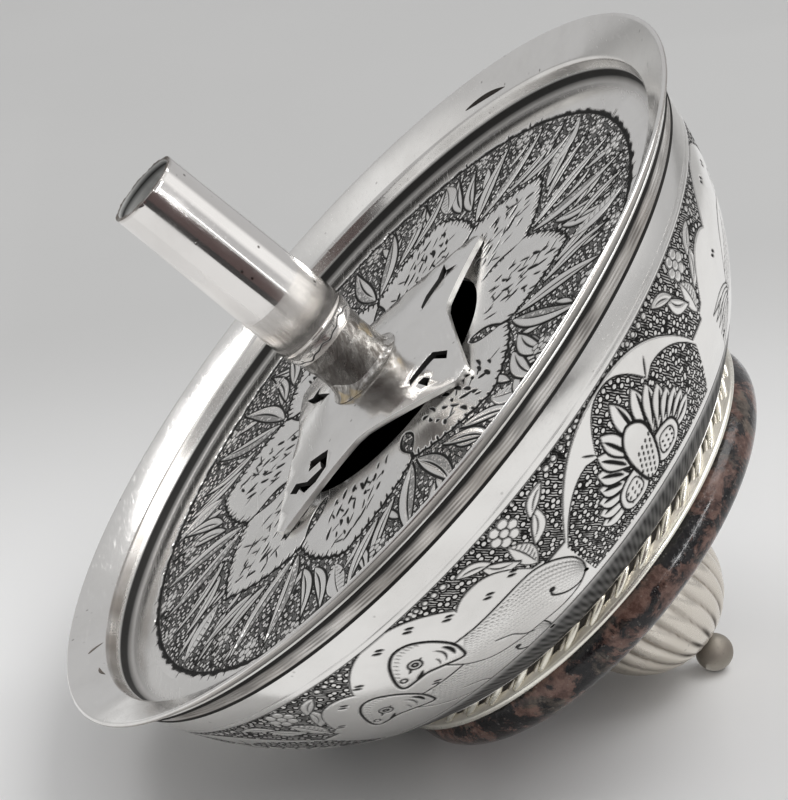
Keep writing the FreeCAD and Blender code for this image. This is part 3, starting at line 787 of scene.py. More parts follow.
# %% The wire under the rim
wire_line = Profile(BEAD[0] - 0.3, BEAD[1] - 0.2)
wire_line.sweep(BEAD[0] - 0.02, BEAD[1] + 0.27, -0.3, 10).close()
lip_wire = add_piece(wire_line.lathe(256), "lip_wire_round", "dish", filed_silver, ["lip_wire"])
paint(lip_wire, "grime_and_shade",
      lambda radius, height, angle: 0.15 + 0.15 * np.sin(angle * 7) * np.sin(angle * 19 + 1))

# %% [markdown]
# Three long scratches in the flange have gone dark. Each is a thin pointed ribbon that hugs the flange. A
# row of vertex pairs is enough for that, as no bmesh operator draws a ribbon on a curved sheet. A scratch
# is given by the radius and angle of its two ends, and its width.


# %% Scratches in the flange
SCRATCHES = (
    (69.4, 62.2, 68.9, 52.6, 0.9),
    (70.8, 184.4, 68.4, 182.3, 0.7),
    (69.3, 190.4, 68.7, 193.6, 0.5),
)
SCRATCH_STEPS = 32
SCRATCH_LIFT = 0.04
flange_run = Vector((FLANGE_INNER, FLANGE_FOOT)) - Vector(EDGE_TOP)
flange_half = flange_run.length / 2
flange_down = Vector((-flange_run.y, flange_run.x)).normalized() * math.sqrt(FLANGE_CURVE**2 - flange_half**2)
flange_centre = Vector(EDGE_TOP) + flange_run / 2 + flange_down


def on_flange_at(radius):
    """Height of the flange's upper side."""
    return flange_centre.y + math.sqrt(FLANGE_CURVE**2 - (radius - flange_centre.x) ** 2)


def make_scratch(bm, start_radius, start_angle, end_radius, end_angle, width):
    """Pointed ribbon between two places on the flange."""
    rows = []
    for number in range(SCRATCH_STEPS + 1):
        share = number / SCRATCH_STEPS
        radius = start_radius + (end_radius - start_radius) * share + 0.25 * math.sin(math.pi * share)
        turn = math.radians(start_angle + (end_angle - start_angle) * share)
        half = width / 2 * math.sin(math.pi * min(share + 0.01, 0.99)) ** 0.7
        row = []
        for side in (-1, 1):
            reach = radius + side * half
            height = on_flange_at(reach) + SCRATCH_LIFT
            row.append(bm.verts.new((reach * math.cos(turn), reach * math.sin(turn), height)))
        rows.append(row)
    for first, second in zip(rows, rows[1:]):
        bm.faces.new((first[0], first[1], second[1], second[0]))


scratch_bm = bmesh.new()
for scratch in SCRATCHES:
    make_scratch(scratch_bm, *scratch)
bmesh.ops.recalc_face_normals(scratch_bm, faces=scratch_bm.faces)
scratches = add_piece(scratch_bm, "flange_scratches", "dish", polished_silver)
paint_all(scratches, "grime_and_shade", 1.0)
paint(scratches, "dark", lambda radius, height, angle: 0.35 + 0.5 * (angle > 0))

# %% [markdown]
# The disc carries a rosette of broad petals with toothed edges and short dashes for veins. Past them the
# ground is punched, and long plain and striped leaves point outwards through it to a ragged black border.
# The petals aren't quite even, as the engraver stepped them off by eye.

# %% The rosette of the disc
PETAL_NOTCHES = (2.8, 45.2, 89.0, 134.0, 178.8, 230.6, 277.0, 322.7)
PETAL_TIP = 45.5
PETAL_NOTCH = 35.2
PETAL_ROOT = 25.5
PETALS = tuple(zip(PETAL_NOTCHES, PETAL_NOTCHES[1:] + (PETAL_NOTCHES[0] + 360,)))


def polar(radius, degrees):
    """Flat place of a radius and an angle."""
    return radius * math.cos(math.radians(degrees)), radius * math.sin(math.radians(degrees))


def petal_edge(off):
    """Radius of a petal's outline at a share of its half width."""
    return PETAL_NOTCH + (PETAL_TIP - PETAL_NOTCH) * np.clip(1 - off, 0, 1) ** 0.85


def draw_veins(graver, middle, half, chance):
    """Broken wavy veins with side twigs, along a petal."""
    for lane in (-0.62, -0.4, -0.2, 0.0, 0.2, 0.4, 0.6):
        reach = PETAL_ROOT + chance.uniform(0, 2)
        while True:
            length = chance.uniform(1.4, 3.6)
            spread = lane * (1 - 0.62 * (reach - PETAL_ROOT) / 17)
            if reach + length > petal_edge(abs(spread)) - 2.2:
                break
            place = middle + half * spread + chance.uniform(-1.0, 1.0)
            swing = chance.uniform(-2.6, 2.6) - lane * 2
            width = chance.uniform(0.5, 1.0)
            tip = polar(reach + length, place + swing)
            graver.stroke(polar(reach, place), tip, width, chance.uniform(-0.3, 0.3))
            if chance.random() < 0.5:
                twig = chance.choice((-1, 1)) * chance.uniform(2.2, 3.6)
                side = polar(reach + length * 0.95, place + twig)
                graver.stroke(polar(reach + length * 0.4, place + swing * 0.4), side, 0.5)
            reach += length + chance.uniform(0.3, 1.6)


def draw_petals(graver, radius, degrees, chance):
    """Broad toothed petals with their veins."""
    for notch, following in PETALS:
        middle = (notch + following) / 2
        half = (following - notch) / 2
        turn = (degrees - middle + 180) % 360 - 180
        off = abs(turn) / half
        teeth = 1.1 * abs((turn / half * 7 + 0.3 * middle) % 1 - 0.5)
        outline = petal_edge(off) - teeth
        inside = soft_edge(outline - radius) * (off <= 1)
        graver.ground *= 1 - inside
        graver.cut *= 1 - inside
        graver.line_at(outline - radius, 0.9, off <= 1)
        for tooth in np.linspace(-0.92, 0.92, 22):
            edge = petal_edge(abs(tooth)) - 0.2
            depth = chance.uniform(0.8, 2.2)
            inner = polar(edge - depth, middle + half * tooth * 0.97)
            graver.stroke(polar(edge + 0.3, middle + half * tooth), inner, 0.55)
        graver.leaf(polar(24.6, notch), polar(33.4, notch), 2.8, 0.0, 0.4, 0.6, punched=1.0)
        graver.stroke(polar(32.6, notch), polar(PETAL_NOTCH + 1.2, notch), 0.9)
        draw_veins(graver, middle, half, chance)


print(f"{len(PETALS)} petals, {PETAL_ROOT} to {PETAL_TIP} mm from the middle")

# %% [markdown]
# Outside the petals the leaves overlap as they do on the real disc, so they are drawn from the back to the
# front: narrow ones first, then the long pairs in the notches, and small flowers last. A random generator
# with a fixed seed varies them, so that every run draws the same disc.


# %% The leaves of the disc, and its sheets
def draw_long_leaf(graver, base, tip, width, bow, shaded=0.0):
    """Leaf with a rib beside its middle, one half of it shaded or plain."""
    graver.leaf(base, tip, width, bow, 0.42, 0.6, shaded=shaded)
    start = [base[axis] + (tip[axis] - base[axis]) * 0.1 for axis in (0, 1)]
    stop = [base[axis] + (tip[axis] - base[axis]) * 0.86 for axis in (0, 1)]
    graver.stroke(start, stop, 0.5, bow * 0.8)


LOOSE_LEAVES = 9
BORDER_TICKS = 40
BORDER_RADIUS = 60.0
BORDER_WIDTH = 1.3
ENGRAVER_SEED = 11


def draw_outer_leaves(graver, chance):
    """Broad leaves that fan out of the notches and off the petals through the ground, and small flowers."""
    for notch, following in PETALS:
        half = (following - notch) / 2
        for _ in range(LOOSE_LEAVES):
            reach = chance.uniform(40, 52)
            place = notch + half * chance.uniform(-1, 1)
            tip = polar(min(reach + chance.uniform(5, 8), 58.6), place + chance.uniform(-5, 5))
            width = chance.uniform(1.3, 2.0)
            graver.leaf(polar(reach, place), tip, width, chance.uniform(-0.8, 0.8), 0.45, 0.5)
        for lane, swing in ((-16, -4), (-9.5, -5), (9.5, 5), (16, 4)):
            reach = PETAL_NOTCH + 4.0 + abs(lane) * 0.25
            tip = polar(chance.uniform(55.5, 58.4), notch + lane + swing)
            draw_long_leaf(graver, polar(reach, notch + lane * 0.8), tip, chance.uniform(2.6, 3.4), swing / 4)
        tip = polar(58.2, notch - 5.5)
        draw_long_leaf(graver, polar(36.6, notch - 0.8), tip, 3.8, -1.0, shaded=0.75)
        tip = polar(57.8, notch + 5.0)
        draw_long_leaf(graver, polar(36.8, notch + 0.8), tip, 3.6, 1.0, shaded=chance.choice((0.0, 0.75)))
        graver.striped_leaf(polar(46.6, notch + half - 2), polar(58.4, notch + half + 2.5), 4.4, -0.7, 10)
        draw_long_leaf(graver, polar(46.4, notch + half + 4), polar(58.2, notch + half + 8), 2.6, 0.6)
        for reach, swing, size in ((56.6, 0.0, 1.5), (52.0, -13.0, 1.3), (57.0, 13.0, 1.2)):
            graver.floret(polar(reach, notch + swing), size, 5)


def draw_rosette(first, last):
    """Function that marks the part of the disc between two angles in degrees."""

    def draw(u, v):
        radius = HOLE_RADIUS + (ENGRAVED_RADIUS - HOLE_RADIUS) * v
        degrees = first + (last - first) * u
        x = radius * np.cos(np.radians(degrees))
        y = radius * np.sin(np.radians(degrees))
        graver = Graver(x, y)
        chance = np.random.default_rng(ENGRAVER_SEED)
        wave = np.radians(degrees)
        ragged = BORDER_RADIUS + 0.22 * np.sin(wave * 61) * np.sin(wave * 17 + 1)
        ragged += 0.14 * np.sin(wave * 97 + 2)
        graver.ground = soft_edge(ragged - radius) * (radius > 24)
        draw_outer_leaves(graver, chance)
        draw_petals(graver, radius, degrees, chance)
        graver.cut = np.maximum(graver.cut, band(radius, BORDER_RADIUS - BORDER_WIDTH, ragged, 0.25))
        for _ in range(BORDER_TICKS):
            place = chance.uniform(0, 360)
            graver.stroke(polar(59.4, place), polar(60.6 + chance.uniform(0, 0.7), place + 0.8), 0.4)
        return graver, np.stack([x, y], axis=1)

    return draw


def roll_disc(first, last):
    """Function that shapes a flat grid into a part of the disc."""

    def roll(u, v, depth):
        radius = HOLE_RADIUS + (ENGRAVED_RADIUS - HOLE_RADIUS) * v
        turn = np.radians(first + (last - first) * u)
        return np.stack([radius * np.cos(turn), radius * np.sin(turn), disc_top - depth], axis=1)

    return roll


engrave_round("rosette", sheets=5, start=-90, columns=500, rows=176,
              draw=draw_rosette, roll=roll_disc, material=disc_silver)

# %% [markdown]
# ## The bowl
# The bowl is raised from one sheet. Its upper band is plain. Below it lobed arches hold a pair of fish, a
# lotus or a bird on plain ground, and the spandrels between the arches are punched and filled with leaves
# and florets. The plain shell is turned a little thinner under the engraved sheets, which bring its
# outside back to the CAD's curve.

# %% The bowl's curve
BOWL_SWEEP = 56.0
BOWL_WALL = 1.0
FOOT_RADIUS = 43.5
ROD_HOLE = 2.3
BAND_TOP = 5.6
foot_point = Vector((FOOT_RADIUS, bowl_foot))
mouth_point = Vector((mouth_radius, seam))
bowl_chord = mouth_point - foot_point
bowl_back = math.sqrt(BOWL_SWEEP**2 - (bowl_chord.length / 2) ** 2)
bowl_centre = (foot_point + mouth_point) / 2 + Vector((-bowl_chord.y, bowl_chord.x)).normalized() * bowl_back
top_turn = math.atan2(mouth_point.y - bowl_centre.y, mouth_point.x - bowl_centre.x)
foot_turn = math.atan2(foot_point.y - bowl_centre.y, foot_point.x - bowl_centre.x)
BOWL_RUN = BOWL_SWEEP * (top_turn - foot_turn)
BAND_FOOT = BOWL_RUN - 1.2


def on_bowl(run, depth=0.0):
    """Radius and height at a run down from the seam, on the bowl's outside or at a depth below it."""
    turn = top_turn - run / BOWL_SWEEP
    out = BOWL_SWEEP - depth
    return bowl_centre.x + out * math.cos(turn), bowl_centre.y + out * math.sin(turn)


bowl_line = Profile(ROD_HOLE, bowl_foot + BOWL_WALL)
bowl_line.to(ROD_HOLE, bowl_foot).to(FOOT_RADIUS - 0.3, bowl_foot, 10).to(*on_bowl(BOWL_RUN - 0.4))
bowl_line.to(*on_bowl(BAND_FOOT)).to(*on_bowl(BAND_FOOT, SHEET_EDGE))
bowl_line.sweep(*on_bowl(BAND_TOP, SHEET_EDGE), -(BOWL_SWEEP - SHEET_EDGE), 24)
bowl_line.to(*on_bowl(BAND_TOP)).sweep(*on_bowl(0.35), -BOWL_SWEEP, 8).to(mouth_radius - 0.3, seam)
bowl_line.to(mouth_radius - BOWL_WALL, seam)
bowl_line.sweep(FOOT_RADIUS - 0.25, bowl_foot + BOWL_WALL, BOWL_SWEEP - BOWL_WALL, 24).close()
bowl = add_piece(bowl_line.lathe(256), "bowl_sheet", "dish", polished_silver, ["bowl_shell"])
paint(bowl, "grime_and_shade", lambda radius, height, angle: 0.9 * band(height, seam - 0.5, seam + 0.1, 0.2))


def bowl_painted_shade(radius, height, angle):
    """Painted shade: black inside the bowl, and black low on the bowl beside the rope."""
    outside = bowl_centre.x + np.sqrt(np.maximum(BOWL_SWEEP**2 - (height - bowl_centre.y) ** 2, 0))
    return (outside - radius - 0.5) / 0.2 + 0.85 * (height < on_bowl(BAND_FOOT)[1] + 0.05)


paint(bowl, "dark", bowl_painted_shade)
print(f"the bowl's outside runs {BOWL_RUN:.1f} mm from seam to foot")

# %% [markdown]
# The bowl's motifs are drawn in millimetres, across from the middle of each arch and down from the seam.
# Eight arches go round. Fish and birds take turns with the lotus.

# %% Arches and spandrels
ARCHES = 8
FIRST_ARCH = -101.0
ARCH_KINDS = ("fish", "lotus", "bird", "lotus")
ARCH_TOP = 7.4
ARCH_FOOT = 21.8
FIELD_FOOT = 36.5
MAP_RADIUS = 62.0
ARCH_HALF = MAP_RADIUS * math.pi / ARCHES


def arch_line(across, kind):
    """Level of an arch's edge: a smooth arch for the lotus, and a lobed one for fish and birds."""
    off = abs(across)
    if kind == "lotus":
        return np.minimum(7.9 + 15.0 * (off / 20.3) ** 2.4, ARCH_FOOT)
    first_lobe = 7.1 + 6.6 * (off / 11.0) ** 2.2
    second_lobe = 12.8 + 7.2 * (abs(off - 15.0) / 7.8) ** 2.4
    third_lobe = np.minimum(19.8 + 0.4 * (off - 22.6), ARCH_FOOT)
    return np.where(off < 11.0, first_lobe, np.where(off < 22.6, np.minimum(second_lobe, 20.0), third_lobe))


def draw_spandrel(graver, middle):
    """Leaves, a floret and chained rings in the punched corner between two arches."""
    graver.striped_leaf((middle - 0.4, 20.0), (middle - 1.2, 12.6), 3.6, 0.5, 9)
    for side in (-1, 1):
        draw_veined_leaf(graver, (middle + side * 1.4, 17.0), (middle + side * 5.8, 11.2), 2.6, side * 0.9)
        draw_veined_leaf(graver, (middle + side * 4.0, 12.6), (middle + side * 9.4, 9.3), 2.2, side * -0.5)
        for number in range(7):
            bead = (middle + side * (11.0 + 1.75 * number), 8.7 - 0.07 * number)
            graver.ring(bead, 0.62 - 0.04 * number, 0.4)
    graver.floret((middle + 0.3, 10.4), 1.7)
    for number in range(-14, 15):
        spot = middle + number * 1.1
        graver.stroke((spot, ARCH_TOP), (spot + 0.1, ARCH_TOP + 0.9), 0.4)


def draw_veined_leaf(graver, base, tip, width, bow):
    """Plain leaf with one vein."""
    graver.leaf(base, tip, width, bow, 0.5, 0.4)
    inner = [(1 - share) * base[0] + share * tip[0] for share in (0.2, 0.85)]
    outer = [(1 - share) * base[1] + share * tip[1] for share in (0.2, 0.85)]
    graver.stroke((inner[0], outer[0]), (inner[1], outer[1]), 0.32, bow * 0.8)


print(f"{ARCHES} arches, {2 * ARCH_HALF:.1f} mm apart")

# %% [markdown]
# The lotus is a fan of petals that grow from one root. Each is a leaf with two inner strokes, and the
# plain heart and the two side lobes are laid over the fan, as the engraver would leave them bare.

# %% A lotus in a lobed medallion
LOTUS_ROOT = (-0.4, 31.0)
LOTUS_HEART = ((-2.2, 31.0), (-3.6, 25.0), (-3.4, 20.6), (-2.2, 18.3), (-0.6, 17.5), (1.2, 18.6), (2.4, 21.0),
               (2.4, 25.5), (1.0, 31.0))
LOTUS_SIDE = ((2.6, 25.6), (5.0, 25.0), (8.0, 26.4), (8.8, 29.6), (7.2, 32.0), (3.4, 32.2), (1.6, 30.0))


def draw_medallion(graver, inside):
    """Punched ground inside three lobes."""
    off = abs(graver.x)
    middle_lobe = 8.6 + 6.9 * (off / 7.1) ** 2.3
    side_lobe = 15.1 + 8.0 * (np.maximum(off - 9.2, 0) / 10.6) ** 2 + 0.5 * np.maximum(9.2 - off, 0)
    depth = graver.y - np.where(off < 7.1, middle_lobe, side_lobe)
    field = soft_edge(depth) * inside * (graver.y < FIELD_FOOT - 2.0)
    graver.ground = np.maximum(graver.ground, field)
    graver.line_at(depth, 0.5, inside & (graver.y < FIELD_FOOT - 2.0))
    graver.stroke((7.0, 15.6), (9.0, 12.4), 0.5)
    graver.stroke((-7.0, 15.4), (-8.8, 13.0), 0.4)


def draw_lotus(graver, inside):
    """Fan of petals about a plain heart and two side lobes, in a lobed medallion."""
    draw_medallion(graver, inside)
    for number in range(-7, 8):
        swing = number * 10.0 + (4.0 if number > 0 else -4.0 if number < 0 else 0.0)
        turn = math.radians(swing)
        reach = 19.6 - 5.4 * min(abs(swing) / 45, 1.0)
        way = (math.sin(turn), -math.cos(turn))
        tip = (LOTUS_ROOT[0] + way[0] * reach, LOTUS_ROOT[1] + way[1] * reach)
        root = (LOTUS_ROOT[0] + way[0] * 6, LOTUS_ROOT[1] + way[1] * 6)
        graver.leaf(root, tip, 3.3, 0.12 * number, 0.66, 0.5)
        for aside, share, width in ((0.55, 0.93, 0.75), (-0.35, 0.8, 0.5)):
            side = math.copysign(aside, number)
            start = (root[0] + way[0] * 3 - way[1] * side * 0.6, root[1] + way[1] * 3 + way[0] * side * 0.6)
            end = (LOTUS_ROOT[0] + way[0] * reach * share - way[1] * side,
                   LOTUS_ROOT[1] + way[1] * reach * share + way[0] * side)
            graver.stroke(start, end, width, 0.2)
    for mirror in (1, -1):
        lobe = rounded([(x * mirror - 0.5, y) for x, y in LOTUS_SIDE], closed=True)
        graver.shape(lobe, 0.6)
        inner = [((x - 5.3) * 0.6 * mirror + 5.3 * mirror - 0.5, (y - 28.7) * 0.6 + 28.7)
                 for x, y in LOTUS_SIDE]
        graver.path(rounded(inner, closed=True), 0.4)
        for row in range(3):
            for column in range(3):
                spot = (mirror * (3.9 + column * 1.25) - 0.5, 27.6 + row * 1.3)
                graver.stroke(spot, (spot[0] + mirror * 0.55, spot[1] + 0.7), 0.5)
    graver.shape(rounded(LOTUS_HEART, closed=True), 0.7)
    for row in range(7):
        for column in range(4):
            spot = (2.0 - column * 1.15 - 0.35 * row, 22.6 + row * 1.25 + 0.3 * column)
            if spot[1] < 31 and spot[0] > -3.2 + 0.2 * row:
                graver.stroke(spot, (spot[0] - 0.25, spot[1] + 0.95), 0.5)
    graver.path([(-15.0, 31.5), (-8.0, 32.8), (0.0, 34.2), (8.0, 34.0), (15.0, 33.0)], 0.45)


print(f"the heart of the lotus is a curve through {len(LOTUS_HEART)} points")

# %% [markdown]
# A fish is a closed outline between its back and its belly. The scales run in lanes from one to the other,
# so they follow the body without being placed one by one. The head, with its eye and mouth, is cleared and
# drawn last.

# %% A pair of fish
FISH_HEAD = ((-2.5, 13.5), (-0.2, 12.0), (2.0, 12.3), (3.6, 13.7), (5.0, 16.0), (5.8, 19.0), (5.5, 21.5),
             (4.3, 23.6), (1.0, 21.8), (-1.5, 20.6), (-4.3, 20.6), (-6.0, 20.4), (-6.1, 19.0), (-4.7, 16.4))
FISH_BACK = ((4.8, 19.2), (10.5, 20.0), (18.5, 20.0), (22.5, 20.5), (25.5, 22.5), (27.8, 26.0), (28.2, 29.5),
             (27.4, 32.0))
FISH_BELLY = ((1.5, 22.4), (3.0, 26.5), (6.0, 30.0), (11.0, 32.0), (15.0, 33.0), (20.0, 34.2), (24.5, 33.8),
              (27.4, 32.0))
FISH_TAIL = ((27.2, 32.0), (25.3, 33.2), (22.6, 32.2), (20.8, 29.4), (21.3, 27.8))
FISH_FIN = ((9.0, 26.6), (11.2, 28.8), (11.9, 31.4), (13.2, 33.2))
FISH_GILLS = (
    ((3.2, 17.2), (2.3, 21.4), 0.42, -0.9),
    ((4.5, 17.8), (4.2, 21.6), 0.8, -0.5),
    ((2.0, 19.0), (1.2, 21.2), 0.3, -0.3),
)
SCALE_LANES = 15


def draw_scales(graver, back, belly):
    """Rows of fine scale marks between the back and the belly, darkest under the back."""
    for row in range(1, SCALE_LANES):
        share = row / SCALE_LANES
        lane = [((1 - share) * high[0] + share * low[0], (1 - share) * high[1] + share * low[1])
                for high, low in zip(back, belly)]
        shade = 0.85 * max(0.25, 1 - 1.6 * share) if share < 0.7 else 0.35 * (1 - share)
        for start, end in list(zip(lane, lane[1:]))[3:-3]:
            middle = ((start[0] + end[0]) / 2, (start[1] + end[1]) / 2)
            graver.stroke(start, (middle[0] - 0.15, middle[1] + 0.4), 0.3, 0.1, shade)
            second = (middle[0] + 0.15, middle[1] - 0.2)
            graver.stroke(second, (end[0] - 0.2, end[1] + 0.25), 0.26, 0.1, shade * 0.8)


def draw_fish(graver, shift):
    """Broad fish: a body with scales and a turned tail, then the head over it."""
    back = rounded(shifted(FISH_BACK, shift))
    belly = rounded(shifted(FISH_BELLY, shift))
    graver.shape(back + belly[::-1], 0.35)
    draw_scales(graver, back, belly)
    graver.path(back, 0.45)
    graver.path(rounded(shifted(FISH_TAIL, shift)), 0.5)
    graver.ring((21.5 + shift[0], 27.9 + shift[1]), 0.35, 0.6, plain=False)
    graver.path(rounded(shifted(FISH_FIN, shift)), 0.35)
    graver.shape(rounded(shifted(FISH_HEAD, shift), closed=True), 0.6)
    eye = (-0.5 + shift[0], 17.1 + shift[1])
    graver.ring(eye, 1.15, 0.42)
    graver.ring(eye, 0.42, 0.55)
    graver.stroke((eye[0] - 2.3, eye[1] + 0.9), (eye[0] - 0.9, eye[1] - 0.5), 0.5, 0.3)
    graver.stroke((eye[0] + 0.9, eye[1] + 0.6), (eye[0] + 2.0, eye[1] - 0.5), 0.42, -0.3)
    graver.ring((-4.5 + shift[0], 18.6 + shift[1]), 0.55, 0.42)
    graver.stroke((-3.4 + shift[0], 20.3 + shift[1]), (-1.0 + shift[0], 19.4 + shift[1]), 0.7, 0.2)
    for start, end, width, bow in FISH_GILLS:
        graver.stroke(*shifted((start, end), shift), width, bow)
    for number in range(11):
        share = number / 10
        spot = (-4.4 + 7.2 * share + shift[0], 16.4 - 4.0 * math.sin(2.2 * share) + shift[1])
        graver.stroke(spot, (spot[0] + 0.35, spot[1] + 1.1), 0.22, 0.0, 0.7)


def draw_dashes(graver, spots):
    """Paired dashes on plain ground."""
    for x, y in spots:
        graver.stroke((x - 0.9, y - 0.75), (x + 0.35, y + 0.35), 0.6)
        graver.stroke((x - 0.1, y - 1.05), (x + 1.1, y + 0.0), 0.6)


def draw_fish_pair(graver):
    """Two fish, one behind the other, among paired dashes."""
    draw_fish(graver, (-12.6, 5.4))
    draw_fish(graver, (0.0, 0.0))
    draw_dashes(graver, ((15.6, 17.3), (9.4, 14.4), (-1.1, 10.0), (-9.2, 13.6), (-3.0, 24.8), (-21.5, 20.3),
                         (4.6, 10.6), (20.5, 17.6), (-15.0, 15.6)))


print(f"a fish has {SCALE_LANES - 1} lanes of scales")

# %% [markdown]
# The bird stands in side view. Its body is one broad leaf, its tail a fan of narrow ones, and short
# strokes hatch the wing and the breast.


# %% A bird
def draw_bird(graver):
    """Bird in side view with a hatched wing and a long tail."""
    graver.leaf((-10.0, 30.0), (7.5, 19.5), 8.5, -1.0, 0.5, 0.42)
    graver.ring((8.0, 17.6), 2.3, 0.42)
    graver.ring((8.4, 17.2), 0.55, 0.4)
    graver.leaf((9.9, 17.2), (13.2, 18.0), 1.2, 0.0, 0.4, 0.35)
    for number in range(6):
        root = (-7.5 - 0.3 * number, 28.5 + 0.5 * number)
        graver.leaf(root, (-20.0 + 0.8 * number, 25.5 + 2.0 * number), 1.8, 0.7)
        graver.stroke((-9.5, 28.6 + 0.5 * number), (-18.5 + 0.8 * number, 25.8 + 1.9 * number), 0.3, 0.6)
    for row in range(3):
        for number in range(10):
            start = (3.5 - number * 1.15 - row * 0.6, 20.8 + number * 0.55 + row * 1.7)
            graver.stroke(start, (start[0] - 1.9, start[1] + 0.9), 0.34, 0.5)
    for number in range(12):
        start = (-6.5 + number * 1.0, 30.6 - number * 0.62)
        graver.stroke(start, (-5.7 + number * 1.0, 29.5 - number * 0.62), 0.3)
    for foot in (-1.5, 1.0):
        graver.stroke((foot, 27.5), (foot + 0.6, 33.0), 0.42)
        graver.stroke((foot - 1.2, 33.6), (foot + 2.2, 32.9), 0.4)
    draw_dashes(graver, ((-2, 12.0), (4.5, 12.6), (14, 22.0), (-12, 19.5), (12, 29.0), (-16, 33.0),
                         (17.5, 27)))


print("motifs of the arches:", ", ".join(sorted(set(ARCH_KINDS))))

# %% [markdown]
# Now the arches go round the bowl. All the arches and their corners are drawn first and then what they
# frame, because a fish may swim over the edge of its arch. The border above the rope comes last, painted
# dark as shade, with painted shadows between the rope's strands.

# %% Engrave and roll the bowl's sheets
ROPE_STRANDS = 44


def draw_bowl(first, last):
    """Function that marks the part of the bowl between two angles in degrees."""

    def draw(u, v):
        degrees = first + (last - first) * u
        run = BAND_TOP + (BAND_FOOT - BAND_TOP) * v
        whole = Graver(np.radians(degrees) * MAP_RADIUS, run)
        for stage in (draw_arch, draw_motif):
            for number in range(ARCHES):
                middle = FIRST_ARCH + 360 / ARCHES * number
                across = np.radians((degrees - middle + 180) % 360 - 180) * MAP_RADIUS
                near = np.flatnonzero(abs(across) < ARCH_HALF * 1.5)
                if not len(near):
                    continue
                graver = Graver(across[near], run[near])
                graver.cut = whole.cut[near]
                graver.ground = whole.ground[near]
                stage(graver, ARCH_KINDS[number % len(ARCH_KINDS)])
                whole.cut[near] = graver.cut
                whole.ground[near] = graver.ground
        draw_borders(whole, degrees)
        return whole, np.stack([whole.x, run], axis=1)

    return draw


def draw_arch(graver, kind):
    """One arch with the halves of its two spandrels."""
    own = abs(graver.x) <= ARCH_HALF
    fresh = Graver(graver.x[own], graver.y[own])
    edge = arch_line(fresh.x, kind)
    corner = soft_edge(edge - fresh.y)
    fresh.ground = corner * soft_edge(fresh.y - ARCH_TOP)
    for side in (-1, 1):
        draw_spandrel(fresh, side * ARCH_HALF)
    fresh.cut *= corner
    fresh.ground *= corner
    fresh.line_at(edge - fresh.y, 0.45, fresh.y > ARCH_TOP)
    graver.cut[own] = fresh.cut
    graver.ground[own] = fresh.ground


def draw_motif(graver, kind):
    """What an arch frames."""
    if kind == "lotus":
        draw_lotus(graver, (graver.y > arch_line(graver.x, kind) + 0.5) & (abs(graver.x) < 20.2))
    elif kind == "fish":
        draw_fish_pair(graver)
    else:
        draw_bird(graver)


def draw_borders(graver, degrees):
    """Incised lines of the upper edge, and painted shade, streaked, on the border near the foot."""
    wave = np.radians(degrees)
    faint = 0.5 + 0.5 * np.sin(wave * 9 + 1) * np.sin(wave * 23)
    graver.line_at(graver.y - ARCH_TOP, 0.35, dark=0.9)
    graver.line_at(graver.y - 6.2 - 0.15 * np.sin(wave * 7), 0.2, dark=faint * 0.7)
    below = soft_edge(graver.y - FIELD_FOOT)
    graver.cut *= 1 - below
    graver.ground *= 1 - below
    streak = 0.5 + 0.5 * np.sin(wave * 211) * np.sin(wave * 83 + graver.y * 0.6)
    shade = np.clip((graver.y - FIELD_FOOT + 0.6) / (BAND_FOOT - FIELD_FOOT - 1.5), 0, 1)
    # Painted shade: the border darkens towards the rope, with streaks.
    darkening = np.clip(np.sqrt(shade) * 1.7, 0, 1) * (0.84 + 0.16 * streak)
    # Painted shadows in the gaps between the rope's strands.
    strand_shadow = np.clip(0.6 + 1.6 * np.cos(wave * ROPE_STRANDS - 0.5), 0, 1)
    strand_shadow *= np.clip((graver.y - BAND_FOOT + 2.0) / 0.5, 0, 1)
    graver.cut = np.maximum(graver.cut, np.maximum(darkening, strand_shadow))
    graver.line_at(graver.y - FIELD_FOOT, 0.4)


def roll_bowl(first, last):
    """Function that shapes a flat grid into a part of the bowl's outside."""

    def roll(u, v, depth):
        turn = np.radians(first + (last - first) * u)
        rise = top_turn - (BAND_TOP + (BAND_FOOT - BAND_TOP) * v) / BOWL_SWEEP
        radius = bowl_centre.x + (BOWL_SWEEP - depth) * np.cos(rise)
        height = bowl_centre.y + (BOWL_SWEEP - depth) * np.sin(rise)
        return np.stack([radius * np.cos(turn), radius * np.sin(turn), height], axis=1)

    return roll


engrave_round("bowl_engraving", sheets=4, start=-150.0, columns=500, rows=190,
              draw=draw_bowl, roll=roll_bowl, material=bowl_silver)

# %% [markdown]
# ## The bracket and the tubes
# The tubes are turned again with finer steps. The joint between them is rough: solder ran down the stub
# and stands in a low mound at its foot, so those are turned and then pushed about with a few sine waves,
# which never repeat in step.


